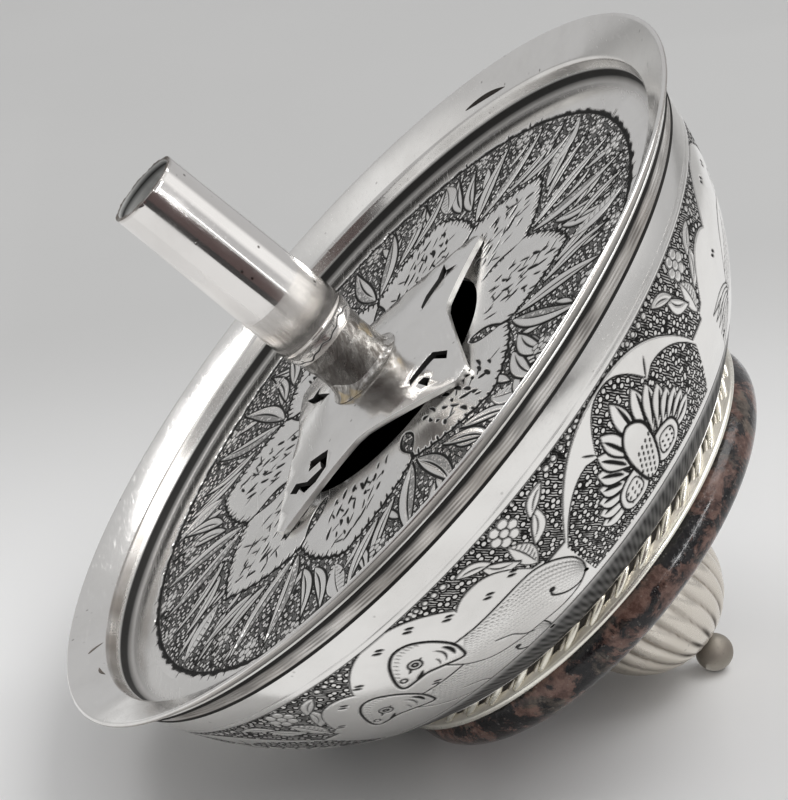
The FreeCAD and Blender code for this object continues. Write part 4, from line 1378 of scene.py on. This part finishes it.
# %% Solder that ran and froze
def make_solder():
    """Rough grey solder, streaked along the tube, with a few yellow flecks."""
    material, tree, shader = new_material("rough solder")
    place = object_place(tree)
    run = object_place(tree, (0, math.radians(90 - lean), 0), (1.0, 1.0, 0.22))
    streak = step(tree, noise(tree, run, 850.0, 4.0, 0.65), 0.32, 0.70)
    lump = step(tree, noise(tree, place, 330.0, 3.0, 0.6), 0.3, 0.7)
    gold = step(tree, noise(tree, place, 210.0, 2.0), 0.62, 0.70)
    grime_and_shade = painted(tree, "grime_and_shade")
    colour = mixed(tree, streak, (0.15, 0.135, 0.12, 1), (0.72, 0.70, 0.67, 1))
    colour = mixed(tree, times(tree, gold, 0.5), colour, (0.70, 0.56, 0.34, 1))
    colour = mixed(tree, grime_and_shade, colour, (0.10, 0.09, 0.085, 1))
    tree.links.new(colour, shader.inputs["Base Color"])
    tree.links.new(step(tree, streak, 0.0, 1.0, 0.45, 0.22), shader.inputs["Roughness"])
    add_dents(tree, shader, 0.16, 0.0003, math_of(tree, "ADD", streak, lump))
    shader.inputs["Metallic"].default_value = 1.0
    return material


def make_dull_bore():
    """Grey film inside the tube."""
    material, tree, shader = new_material("dull bore")
    film = noise(tree, object_place(tree), 600.0, 3.0)
    dark = painted(tree, "dark")
    colour = mixed(tree, film, (0.40, 0.40, 0.39, 1), (0.62, 0.62, 0.60, 1))
    tree.links.new(mixed(tree, dark, colour, OXIDE_AND_SHADE), shader.inputs["Base Color"])
    shader.inputs["Roughness"].default_value = 0.7
    return material


solder = make_solder()
dull_bore = make_dull_bore()
print("joint finishes:", solder.name, "and", dull_bore.name)

# %% [markdown]
# The stub and the mound of solder at its foot come first. On the real joint the solder also climbed up one
# side of the stub, so the mound is lifted there.

# %% The stub and its mound
stub_foot, stub_top, stub_radius = span("stub_tube")
ferrule_foot, ferrule_top, tube_radius = span("tube_ferrule")
sleeve_foot, sleeve_top, _ = span("sleeve_tube")
bracket_top = stub_foot + 1.0
STUB_WALL = 0.9
stub_clear = stub_radius + 0.05


def lumpy(bm, amount, low, high):
    """Push a turned piece's outside in and out by up to amount between two heights."""
    points = points_of(bm)
    radius = np.hypot(points[:, 0], points[:, 1])
    angle = np.arctan2(points[:, 1], points[:, 0])
    height = points[:, 2]
    wave = np.sin(angle * 3 + height * 0.9) + np.sin(angle * 7 - height * 1.7 + 1)
    wave += np.sin(angle * 13 + height)
    push = 1 + amount / 3 * wave * band(height, low, high, 0.6) * (radius > stub_radius - 0.2) / radius
    points[:, :2] *= push[:, None]
    move_points(bm, points)
    return bm


stub_bore = stub_radius - STUB_WALL
stub_line = Profile(stub_bore, stub_foot)
stub_line.to(stub_radius, stub_foot).to(stub_radius, stub_top, 60).to(stub_bore, stub_top).close()
stub_bm = lumpy(stub_line.lathe(96), 0.02, stub_foot, ferrule_foot)
stub = add_piece(stub_bm, "stub_rough", "dish", solder, ["stub_tube"])
# One side of the stub is painted dark.
paint(stub, "grime_and_shade", lambda radius, height, angle: 0.75 * np.clip(1.3 * np.cos(angle + 2.2), 0, 1))

mound_line = Profile(stub_clear, bracket_top + 0.02)
mound_line.to(stub_radius + 1.4, bracket_top + 0.02, 3).to(stub_radius + 1.3, bracket_top + 0.08)
mound_line.sweep(stub_radius + 0.12, bracket_top + 1.0, 1.6, 10).to(stub_clear, bracket_top + 1.1).close()
mound_bm = lumpy(mound_line.lathe(96), 0.10, bracket_top + 0.1, bracket_top + 4)
mound_points = points_of(mound_bm)
climb = np.exp(-(((np.arctan2(mound_points[:, 1], mound_points[:, 0]) + 2.4) / 0.45) ** 2))
mound_points[:, 2] += 2.2 * climb * np.clip(mound_points[:, 2] - bracket_top, 0, 1)
move_points(mound_bm, mound_points)
add_piece(mound_bm, "solder_mound", "dish", solder)

# %% [markdown]
# The long tube meets the stub in a rounded shoulder. Solder covers the shoulder's foot, so those faces get
# the second material. The tube above was sawn off by hand: its mouth is uneven by a tenth of a millimetre,
# and dull inside.

# %% The shoulder and the long tube
SLEEVE_BORE = 6.0
SLEEVE_MOUTH = 6.85
SHOULDER_FOOT = ferrule_foot + 2.4
ferrule_line = Profile(stub_clear, ferrule_foot)
ferrule_line.to(stub_radius + 0.15, ferrule_foot).to(stub_radius + 0.3, SHOULDER_FOOT, 14)
ferrule_line.sweep(tube_radius, SHOULDER_FOOT + 3.4, -5.5, 26)
ferrule_line.to(tube_radius, ferrule_top, 24).to(stub_clear, ferrule_top)
ferrule_line.to(stub_clear, ferrule_foot, 12)
ferrule_bm = lumpy(ferrule_line.lathe(192), 0.025, ferrule_foot - 1, ferrule_foot + 5)
for face in ferrule_bm.faces:
    face.material_index = int(face.calc_center_median().z < SHOULDER_FOOT)
ferrule = add_piece(ferrule_bm, "ferrule_shoulder", "dish", tube_silver, ["tube_ferrule"])
ferrule.data.materials.append(solder)

sleeve_line = Profile(stub_clear, sleeve_foot)
sleeve_line.to(tube_radius, sleeve_foot).to(SLEEVE_MOUTH, sleeve_top - 0.1, 40)
sleeve_line.to(SLEEVE_MOUTH - 0.1, sleeve_top).to(SLEEVE_BORE + 0.1, sleeve_top, 3)
sleeve_line.to(SLEEVE_BORE, sleeve_top - 0.12).to(SLEEVE_BORE, stub_top + 0.3, 30)
sleeve_line.to(stub_clear, stub_top + 0.3).to(stub_clear, sleeve_foot, 4)
sleeve_bm = sleeve_line.lathe(192)
cut_points = points_of(sleeve_bm)
cut_angle = np.arctan2(cut_points[:, 1], cut_points[:, 0])
saw = 0.06 * np.sin(cut_angle * 9 + 1) + 0.035 * np.sin(cut_angle * 31) + 0.02 * np.sin(cut_angle * 57 + 2)
at_mouth = cut_points[:, 2] > sleeve_top - 0.2
at_edge = cut_points[:, 2] > sleeve_top - 0.05
cut_points[:, 2] -= at_mouth * (0.12 + saw * at_edge)
move_points(sleeve_bm, cut_points)
for face in sleeve_bm.faces:
    middle = face.calc_center_median()
    face.material_index = int(middle.xy.length < SLEEVE_BORE + 0.05 and middle.z < sleeve_top - 0.1)
sleeve = add_piece(sleeve_bm, "sleeve_round", "dish", tube_silver, ["sleeve_tube"])
sleeve.data.materials.append(dull_bore)


# %% [markdown]
# The heat of soldering left the shoulder's foot brown. A crack wanders round the shoulder, and black dirt
# sits just inside the mouth.


# %% Tarnish and a crack on the tubes
def tube_grime(radius, height, angle):
    """Tarnish at the cut mouth and at the shoulder's foot."""
    mouth = band(height, sleeve_top - 0.3, sleeve_top + 0.2, 0.2)
    heat = band(height, ferrule_foot - 0.6, SHOULDER_FOOT + 0.9 + 0.5 * np.sin(angle * 3), 0.6) * 0.45
    return mouth + heat


def tube_crack(radius, height, angle):
    """Wandering crack in the solder of the shoulder, and black dirt behind the cut mouth."""
    line = SHOULDER_FOOT + 1.3 + 0.5 * np.sin(angle * 2 + 2.4) + 0.28 * np.sin(angle * 7)
    line += 0.16 * np.sin(angle * 17 + 1)
    crack = 1.6 - abs(height - line) / 0.14
    inside = (radius < SLEEVE_BORE + 0.05) * band(height, sleeve_top - 1.6, sleeve_top - 0.3, 0.4)
    mouth = 0.5 * (height > sleeve_top - 0.22) * (radius < SLEEVE_MOUTH - 0.05)
    return np.maximum(np.clip(crack, 0, 1) * (radius > stub_radius + 0.2), inside + mouth)


for piece in (ferrule, sleeve):
    paint(piece, "grime_and_shade", tube_grime)
    paint(piece, "dark", tube_crack)
print("painted", ferrule.name, "and", sleeve.name)

# %% [markdown]
# The bracket is a copy of the CAD mesh, with its sharp edges broken by a narrow bevel so that they catch
# the light. The outer edge was filed and stays matt. The walls of the pierced scrolls are painted black, as
# painted shade in the openings.


# %% The bracket
def wall_islands(bm):
    """Groups of touching faces that stand upright."""
    left = {face for face in bm.faces if abs(face.normal.z) < 0.6}
    islands = []
    while left:
        island = [left.pop()]
        for face in island:
            for beside in {near for vert in face.verts for near in vert.link_faces} & left:
                left.remove(beside)
                island.append(beside)
        islands.append(island)
    return islands


bracket_bm = bmesh.new()
bracket_bm.from_mesh(frame["nodes"]["spider_bracket"].data)
bmesh.ops.transform(bracket_bm, matrix=lay_mm.inverted(), verts=bracket_bm.verts)
bmesh.ops.remove_doubles(bracket_bm, verts=bracket_bm.verts, dist=0.001)
bmesh.ops.recalc_face_normals(bracket_bm, faces=bracket_bm.faces)
black_walls = bracket_bm.faces.layers.float.new("dark")
bracket_reach = span("spider_bracket")[2]
# The walls inside the scrolls are painted black as painted shade in the openings; the filed outer edge is
# not.
for island in wall_islands(bracket_bm):
    outer = max(vert.co.xy.length for face in island for vert in face.verts) > bracket_reach - 0.5
    for face in island:
        face.material_index = 1 if outer else 0
        face[black_walls] = 0.0 if outer else 0.97
CORNER = math.radians(60)
corners = [edge for edge in bracket_bm.edges if edge.is_manifold and edge.calc_face_angle() > CORNER]
bmesh.ops.bevel(bracket_bm, geom=corners, offset=0.1, offset_type="OFFSET", segments=2, profile=0.5,
                affect="EDGES", material=-1, clamp_overlap=True)
bracket = add_piece(bracket_bm, "bracket_star", "dish", polished_silver, ["spider_bracket"])
bracket.data.materials.append(filed_silver)

# %% [markdown]
# ## Below the bowl
# A rope ring and a smooth ring sit on the stone. The rope is two wires twisted together, and reads as
# slanted strands in a groove. The second wire is painted darker, as painted shade beside the bright
# strands, and the core is painted dark, as painted shade in the groove. Each strand is a stretched and
# turned sphere on a plain core.

# %% The rope ring
rope_foot, rope_top, _ = span("rope_ring")
seat_foot, seat_top, seat_radius = span("seat_ring")
STRAND_SLANT = math.radians(23)
rope_middle = (rope_foot + rope_top) / 2
rope_radius = seat_radius - 1.2
core_inside = rope_radius - 2.2
core_outside = rope_radius - 0.5

core_line = Profile(core_inside, rope_foot)
core_line.to(core_outside, rope_foot).to(rope_radius - 0.35, rope_middle, 2).to(core_outside, rope_top, 2)
core_line.to(core_inside, rope_top).close()
core = add_piece(core_line.lathe(192), "rope_core", "dish", ring_silver, ["rope_ring"])
# The core is painted dark all over, as painted shade in the groove.
paint_all(core, "grime_and_shade", 0.9)
paint_all(core, "dark", 0.85)


def add_strands(name, shift, setback, half_sizes, grime_and_shade):
    """One wire of the rope: slanted strands, each with the same half sizes out, along and across."""
    rope = bmesh.new()
    for number in range(ROPE_STRANDS):
        turn = Matrix.Rotation(math.tau * (number + shift) / ROPE_STRANDS, 4, "Z")
        out = Matrix.Translation((rope_radius - setback, 0, rope_middle - setback))
        slant = Matrix.Rotation(STRAND_SLANT, 4, "X")
        place = turn @ out @ slant @ Matrix.Diagonal((*half_sizes, 1))
        bmesh.ops.create_uvsphere(rope, u_segments=12, v_segments=10, radius=1.0, matrix=place)
    strands = add_piece(rope, name, "dish", ring_silver, sharp=80)
    paint_all(strands, "grime_and_shade", grime_and_shade)


add_strands("rope_strands", 0.0, 0.0, (1.0, 3.4, 0.70), 0.0)
# The second wire is painted darker, as painted shade beside the bright strands.
add_strands("rope_strands_shaded", 0.55, 0.55, (0.8, 2.2, 0.50), 0.5)

# %% [markdown]
# The seat is a smooth ring with a round edge. Its upper side slopes up to the rope, and it is painted
# darker where they meet.

# %% The seat ring
SEAT_WIDTH = 4.0
SEAT_RISE = 0.75
seat_inside = seat_radius - SEAT_WIDTH
seat_line = Profile(seat_inside, seat_foot)
seat_line.to(seat_radius - 0.6, seat_foot, 2).sweep(seat_radius - 0.45, seat_top - 0.1, -0.601, 10)
seat_line.to(seat_radius - 1.3, seat_top + SEAT_RISE, 6).to(seat_inside, seat_top + SEAT_RISE, 2).close()
seat_ring = add_piece(seat_line.lathe(192), "seat_round", "dish", seat_silver, ["seat_ring"])
paint(seat_ring, "grime_and_shade", lambda radius, height, angle: 0.55 * np.clip((height - seat_top + 0.2) * 4, 0, 1))

# %% [markdown]
# The collar is a polished stone, near black, with salmon and olive patches and fine pale flecks. Clouds of
# noise at two sizes pick the patches, and a coat gives the polish.


# %% The stone
def make_stone():
    """Polished dark stone with patches."""
    material, tree, shader = new_material("polished mottled stone")
    place = object_place(tree)
    warp = put(tree, "TexNoise", place, None, 70.0, 3.0).outputs["Color"]
    bent = put(tree, "VectorMath", warp, (0.012, 0.012, 0.012), operation="MULTIPLY").outputs[0]
    bent = put(tree, "VectorMath", place, bent, operation="ADD").outputs[0]
    patch = noise(tree, bent, 62.0, 7.0, 0.72)
    salmon = step(tree, patch, 0.50, 0.56)
    olive = step(tree, noise(tree, bent, 90.0, 6.0, 0.70), 0.55, 0.63)
    grain = step(tree, noise(tree, place, 420.0, 4.0, 0.7), 0.35, 0.7)
    fleck = step(tree, put(tree, "TexVoronoi", place, None, 900.0).outputs["Distance"], 0.10, 0.2, 1.0, 0.0)
    colour = mixed(tree, grain, (0.004, 0.004, 0.005, 1), (0.020, 0.017, 0.018, 1))
    pink = mixed(tree, grain, (0.075, 0.038, 0.030, 1), (0.21, 0.125, 0.10, 1))
    green = mixed(tree, grain, (0.045, 0.036, 0.030, 1), (0.15, 0.12, 0.095, 1))
    colour = mixed(tree, olive, colour, green)
    colour = mixed(tree, salmon, colour, pink)
    colour = mixed(tree, times(tree, fleck, 0.12), colour, (0.6, 0.57, 0.52, 1))
    tree.links.new(colour, shader.inputs["Base Color"])
    tree.links.new(step(tree, grain, 0.0, 1.0, 0.14, 0.24), shader.inputs["Roughness"])
    add_dents(tree, shader, 0.3, 0.0002, grain)
    shader.inputs["Specular IOR Level"].default_value = 0.3
    shader.inputs["Coat Weight"].default_value = 0.15
    shader.inputs["Coat Roughness"].default_value = 0.06
    return material


stone_foot, stone_top, stone_radius = span("stone_disc")
STONE_EDGE = 3.9
stone_flat = stone_radius - STONE_EDGE
stone_line = Profile(ROD_HOLE, stone_foot)
stone_line.to(stone_flat, stone_foot, 16).sweep(stone_radius, stone_foot + STONE_EDGE, -STONE_EDGE, 14)
stone_line.to(stone_radius, stone_top - STONE_EDGE).sweep(stone_flat, stone_top, -STONE_EDGE, 14)
stone_line.to(ROD_HOLE, stone_top, 16).close()
add_piece(stone_line.lathe(192), "stone_round", "dish", make_stone(), ["stone_disc"])

# %% [markdown]
# The knob is a hollow dome of swirled gadroons. It is turned smooth first. Then every point is moved in or
# out by a rounded wave of its angle, which shifts with the height, so that the flutes lean round the knob.

# %% The fluted knob
dome_tip, dome_end, dome_radius = span("fluted_dome")
FLUTES = 24
FLUTE_DEPTH = 0.95
FLUTE_TWIST = math.radians(14)
DOME_SHOULDER = 10.2
DOME_END_RADIUS = 12.0
DOME_TIP_RADIUS = 3.3
DOME_TIP_WALL = 1.4
DOME_WALL = 1.8
DOME_RINGS = 36
INNER_RINGS = 9
KNOB_BORE = 1.25
belly = dome_end + 0.3 - DOME_SHOULDER
low_reach = (belly - dome_tip) / math.sqrt(1 - (DOME_TIP_RADIUS / dome_radius) ** 2)
high_reach = DOME_SHOULDER / math.sqrt(1 - (DOME_END_RADIUS / dome_radius) ** 2)


def dome_outside(height):
    """Radius over the flutes at a height."""
    reach = high_reach if height > belly else low_reach
    return dome_radius * math.sqrt(1 - ((height - belly) / reach) ** 2)


dome_line = Profile(KNOB_BORE, dome_tip + DOME_TIP_WALL)
dome_line.to(KNOB_BORE, dome_tip).to(dome_outside(dome_tip) - 0.3, dome_tip, 2)
for number in range(DOME_RINGS + 1):
    swing = math.pi * number / DOME_RINGS
    height = dome_tip + 0.05 + (dome_end - dome_tip - 0.05) * (1 - math.cos(swing)) / 2
    dome_line.to(dome_outside(height), height)
dome_line.to(DOME_END_RADIUS - 1.75, dome_end)
for number in range(INNER_RINGS):
    height = dome_end - (dome_end - dome_tip - DOME_TIP_WALL) * (number + 1) / INNER_RINGS
    dome_line.to(max(dome_outside(height) - DOME_WALL, 1.6), height)
dome_line.close()
dome = dome_line.lathe(FLUTES * 12)
points = points_of(dome)
radius = np.hypot(points[:, 0], points[:, 1])
rise = np.clip((points[:, 2] - dome_tip) / (dome_end - dome_tip), 0, 1)
turn = np.arctan2(points[:, 1], points[:, 0]) - FLUTE_TWIST * (1 - rise)
wave = 1 - abs(np.sin(turn * FLUTES / 2)) ** 0.8
outer = radius > np.array([dome_outside(min(max(z, dome_tip), dome_end)) for z in points[:, 2]]) - 0.4
points[:, :2] *= (1 - outer * wave * FLUTE_DEPTH / dome_radius)[:, None]
move_points(dome, points)
dome_piece = add_piece(dome, "dome_gadroons", "knob", satin_silver, ["fluted_dome"], sharp=60)


# %% [markdown]
# The valleys between the flutes are painted darker than the ridges, most of all near the tip. The same
# wave that cut the flutes says where the valleys are.


# %% Darker flutes
def valley_at(height, angle):
    """Share of the way up the dome, and 1 in the valleys between the flutes, falling to 0 on the ridges."""
    share = np.clip((height - dome_tip) / (dome_end - dome_tip), 0, 1)
    return share, 1 - abs(np.sin((angle - FLUTE_TWIST * (1 - share)) * FLUTES / 2))


def dome_valley_darkening(radius, height, angle):
    """Darker valleys, most of all near the tip."""
    share, valley = valley_at(height, angle)
    darkening = valley**3 * (0.7 + 0.9 * np.clip(1 - share * 2.4, 0, 1))
    return darkening + 0.25 * band(height, dome_end - 1.2, dome_end, 0.5)


def dome_dark(radius, height, angle):
    """Nearly black stains where some of the valleys end."""
    share, valley = valley_at(height, angle)
    uneven = 0.6 + 0.4 * np.sin(angle * 3 + 5.4)
    return 0.9 * np.clip(valley * 2.2 - 0.7, 0, 1) * band(share, 0.03, 0.26, 0.12) * uneven


paint(dome_piece, "grime_and_shade", dome_valley_darkening)
paint(dome_piece, "dark", dome_dark)
print(f"painted the valleys of {FLUTES} flutes")

# %% [markdown]
# The collar and the ball close the knob. The ball is turned in one line with its stem and the head that
# holds it inside the dome, and it is duller than the knob.

# %% The collar and the ball
collar_foot, collar_top, collar_radius = span("finial_collar")
collar_line = Profile(KNOB_BORE, collar_foot)
collar_line.to(collar_radius - 0.4, collar_foot, 2).sweep(collar_radius - 0.4, collar_top, -0.401, 8)
collar_line.to(KNOB_BORE, collar_top, 2).close()
collar_bm = collar_line.lathe(64)
collar = add_piece(collar_bm, "collar_bead", "knob", satin_silver, ["finial_collar"])
paint_all(collar, "grime_and_shade", 0.75)

BALL_RADIUS = 3.4
STEM_RADIUS = 1.2
ball_foot, head_top, _ = span("ball_finial")
ball_line = Profile(0.0, ball_foot)
ball_line.sweep(BALL_RADIUS, ball_foot + BALL_RADIUS, -BALL_RADIUS, 14)
ball_line.sweep(STEM_RADIUS, ball_foot + BALL_RADIUS + 3.18, -BALL_RADIUS, 12)
ball_line.to(STEM_RADIUS, head_top - 0.8, 3).to(2.4, head_top - 0.8)
ball_line.to(2.2, head_top - 0.1).to(0.0, head_top, 2)
ball = add_piece(ball_line.lathe(64), "ball_turned", "knob", dull_silver, ["ball_finial"])
paint(ball, "grime_and_shade", lambda radius, height, angle: 0.35 + 0.25 * np.sin(angle * 2 + height))

# %% [markdown]
# The hidden stack keeps its CAD meshes: steel for the rod, its nut and washer, leather for the soft
# washers, and satin silver for the knob's plate.


# %% Finishes for the pieces that stay as CAD
def make_leather():
    """Brown leather with a fine grain."""
    material, tree, shader = new_material("brown leather")
    grain = put(tree, "TexVoronoi", object_place(tree), None, 1400.0).outputs["Distance"]
    colour = mixed(tree, grain, (0.10, 0.05, 0.028, 1), (0.26, 0.15, 0.09, 1))
    tree.links.new(colour, shader.inputs["Base Color"])
    tree.links.new(step(tree, grain, 0.0, 0.7, 0.8, 0.6), shader.inputs["Roughness"])
    add_dents(tree, shader, 0.4, 0.0003, grain)
    return material


def make_steel():
    """Plain steel with turning marks."""
    material, tree, shader = new_material("turned steel")
    marks = noise(tree, object_place(tree, (0, math.radians(lean - 90), 0), (0.1, 0.1, 1.0)), 3000.0, 2.0)
    colour = mixed(tree, marks, (0.30, 0.30, 0.305, 1), (0.62, 0.62, 0.63, 1))
    tree.links.new(colour, shader.inputs["Base Color"])
    tree.links.new(step(tree, marks, 0.2, 0.8, 0.25, 0.45), shader.inputs["Roughness"])
    shader.inputs["Metallic"].default_value = 1.0
    return material


leather = make_leather()
steel = make_steel()
kept = {
    "knob_plate": satin_silver,
    "packing_washer": leather,
    "leather_washer": leather,
    "tie_rod": steel,
    "rod_washer": steel,
    "rod_nut": steel,
}
for node, material in kept.items():
    for entry in frame["nodes"][node].material_slots:
        entry.material = material
print("kept CAD nodes:", ", ".join(kept))

# %% [markdown]
# ## Floor, light and camera
# The object lies on a plain pale sheet under a pale, even sky. The sheet is a little darker towards the
# back, as paper is where it leaves the light.


# %% The floor
def make_paper():
    """Matt paper that is paler in front than behind."""
    material, tree, shader = new_material("pale paper")
    place = object_place(tree)
    back = step(tree, put(tree, "SeparateXYZ", place).outputs["Y"], 0.03, 0.20)
    paper = mixed(tree, back, (0.80, 0.797, 0.79, 1), (0.51, 0.508, 0.50, 1))
    worn = mixed(tree, back, (0.86, 0.858, 0.85, 1), (0.545, 0.543, 0.535, 1))
    tree.links.new(mixed(tree, noise(tree, place, 9.0, 3.0), paper, worn), shader.inputs["Base Color"])
    shader.inputs["Roughness"].default_value = 0.75
    return material


floor_bm = bmesh.new()
bmesh.ops.create_grid(floor_bm, x_segments=4, y_segments=4, size=3.0)
floor_mesh = bpy.data.meshes.new("floor")
floor_bm.to_mesh(floor_mesh)
floor_bm.free()
floor_mesh.materials.append(make_paper())
floor = bpy.data.objects.new("floor", floor_mesh)
bpy.context.scene.collection.objects.link(floor)
print("floor laid")

# %% [markdown]
# The camera stands where the photograph was taken. Its place was found from the rim, the engraved edge,
# the stone and the tube's mouth, and it is given in the upright frame: an angle and a reach about the
# axis, a rise over the rim, and small turns from looking straight at the rim's middle.

# %% The camera
PHOTO_WIDTH = 788
FOCAL_PIXELS = 3000.0
SENSOR = 36.0
CAMERA_ANGLE = math.radians(-73.0)
CAMERA_REACH = 486.0
CAMERA_RISE = 150.2
CAMERA_PITCH = -0.020
CAMERA_YAW = -0.002
CAMERA_ROLL = -0.890

place = Vector((CAMERA_REACH * math.cos(CAMERA_ANGLE), CAMERA_REACH * math.sin(CAMERA_ANGLE),
                rim_top + CAMERA_RISE))
ahead = (Vector((0, 0, rim_top)) - place).normalized()
right = ahead.cross(Vector((0, 0, 1))).normalized()
above = right.cross(ahead)
ahead = (ahead + right * CAMERA_YAW + above * CAMERA_PITCH).normalized()
right = ahead.cross(above).normalized()
above = right.cross(ahead)
across = right * math.cos(CAMERA_ROLL) + above * math.sin(CAMERA_ROLL)
upward = above * math.cos(CAMERA_ROLL) - right * math.sin(CAMERA_ROLL)
turn = Matrix((across, upward, -ahead)).transposed().to_4x4()
turn.translation = place
camera_data = bpy.data.cameras.new("camera")
camera_data.sensor_fit = "HORIZONTAL"
camera_data.sensor_width = SENSOR
camera_data.lens = SENSOR * FOCAL_PIXELS / PHOTO_WIDTH
camera_data.clip_end = 20.0
camera = bpy.data.objects.new("camera", camera_data)
seat = lay_mm @ turn
camera.matrix_world = Matrix.LocRotScale(seat.to_translation(), seat.to_quaternion(), None)
bpy.context.scene.collection.objects.link(camera)
bpy.context.scene.camera = camera
print("camera at", [round(number, 3) for number in camera.location])

# %% [markdown]
# Polished silver shows whatever is around it. So two lamps light the scene softly from above, a weak one
# fills the front, and cards that show only in reflections stand for the rest: a dark table and a brown
# room on the camera's side, a bright doorway, a window, a ceiling and a wall, and lit paper close by. A
# long lamp, also seen only in reflections, draws the bright line along the tube.


# %% Lights and cards
def add_light(name, place, aim, size, power, along=(1, 0, 0)):
    """Area light that faces a point, with its first side along a direction."""
    data = bpy.data.lights.new(name, "AREA")
    data.shape = "RECTANGLE"
    data.size, data.size_y = size
    data.energy = power
    lamp = bpy.data.objects.new(name, data)
    lamp.location = place
    back = (Vector(place) - Vector(aim)).normalized()
    side = Vector(along) - back * back.dot(Vector(along))
    sides = Matrix((side.normalized(), back.cross(side).normalized(), back))
    lamp.rotation_euler = sides.transposed().to_euler()
    bpy.context.scene.collection.objects.link(lamp)
    return lamp


def add_card(name, low, high, colour, glow=0.0, fade=0.0):
    """Card between two corners that shows only in reflections. Its edges may fade over a share of it."""
    bm = bmesh.new()
    bmesh.ops.create_cube(bm, size=1.0)
    size = [max(b - a, 0.002) for a, b in zip(low, high)]
    middle = [(a + b) / 2 for a, b in zip(low, high)]
    bmesh.ops.transform(bm, matrix=Matrix.Translation(middle) @ Matrix.Diagonal((*size, 1)), verts=bm.verts)
    mesh = bpy.data.meshes.new(name)
    bm.to_mesh(mesh)
    bm.free()
    material, tree, shader = new_material(name)
    shader.inputs["Base Color"].default_value = (*colour, 1)
    shader.inputs["Roughness"].default_value = 0.9
    shader.inputs["Emission Color"].default_value = (1, 1, 1, 1)
    shader.inputs["Emission Strength"].default_value = glow
    if fade:
        offset = put(tree, "VectorMath", object_place(tree), middle, operation="SUBTRACT").outputs[0]
        share = put(tree, "VectorMath", offset, [edge / 2 for edge in size], operation="DIVIDE").outputs[0]
        share = put(tree, "VectorMath", share, operation="ABSOLUTE").outputs[0]
        sides = put(tree, "SeparateXYZ", share).outputs
        cover = [step(tree, sides[axis], 1 - fade, 1.0, 1.0, 0.0) for axis in range(3) if size[axis] > 0.02]
        tree.links.new(times(tree, *cover), shader.inputs["Alpha"])
    mesh.materials.append(material)
    card = bpy.data.objects.new(name, mesh)
    card.visible_camera = False
    card.visible_diffuse = False
    card.visible_shadow = False
    bpy.context.scene.collection.objects.link(card)


CENTRE = (0.0, 0.0, 0.06)
BLACK = (0.0, 0.0, 0.0)
BROWN_ROOM = (0.12, 0.083, 0.08)
DARK_WOOD = (0.012, 0.01, 0.01)
add_light("key", (0.55, 0.10, 1.05), CENTRE, (0.7, 0.7), 5.5)
add_light("window", (-0.62, 0.55, 0.99), CENTRE, (0.45, 0.25), 2.6, (0.66, 0.75, 0.0))
front = add_light("front", (0.15, -0.65, 0.75), (0.0, -0.1, 0.0), (0.5, 0.5), 0.35)
front.visible_glossy = False
lamp = add_light("long lamp", (0.90, -0.92, 0.78), CENTRE, (0.95, 0.10), 8.0, (0.40, 0.76, 0.52))
lamp.visible_diffuse = False
add_card("dark table", (-0.7, -1.0, 0.001), (1.0, -0.33, 0.002), DARK_WOOD)
add_card("brown room", (-0.7, -1.0, 0.002), (0.92, -0.99, 0.40), BROWN_ROOM)
add_card("brown upright", (-0.55, -0.98, 0.40), (-0.02, -0.97, 0.85), BROWN_ROOM)
add_card("bright doorway", (0.93, -1.0, 0.002), (0.99, -0.99, 0.75), BLACK, 2.4)
add_card("pale window", (-1.35, 0.05, 0.35), (-1.34, 0.95, 1.2), BLACK, 0.78, 0.8)
add_card("pale ceiling", (-0.9, -0.5, 1.5), (0.3, 0.4, 1.51), BLACK, 1.25, 0.4)
add_card("pale wall", (1.3, -0.75, 0.1), (1.31, 0.65, 1.3), BLACK, 0.95, 0.8)
add_card("lit paper in front", (-0.7, -0.32, 0.001), (0.6, -0.06, 0.002), BLACK, 0.76)
add_card("lit paper at the right", (0.05, -0.06, 0.001), (0.6, 0.35, 0.002), BLACK, 0.76)
add_card("lit paper at the left", (-0.7, -0.06, 0.001), (-0.09, 0.35, 0.002), BLACK, 0.70)
world = bpy.data.worlds.new("soft room")
world.use_nodes = True
world.node_tree.nodes["Background"].inputs["Color"].default_value = (0.90, 0.90, 0.91, 1)
world.node_tree.nodes["Background"].inputs["Strength"].default_value = 0.56
bpy.context.scene.world = world
bpy.context.scene.view_settings.view_transform = "Standard"
print("lights:", len(bpy.data.lights))
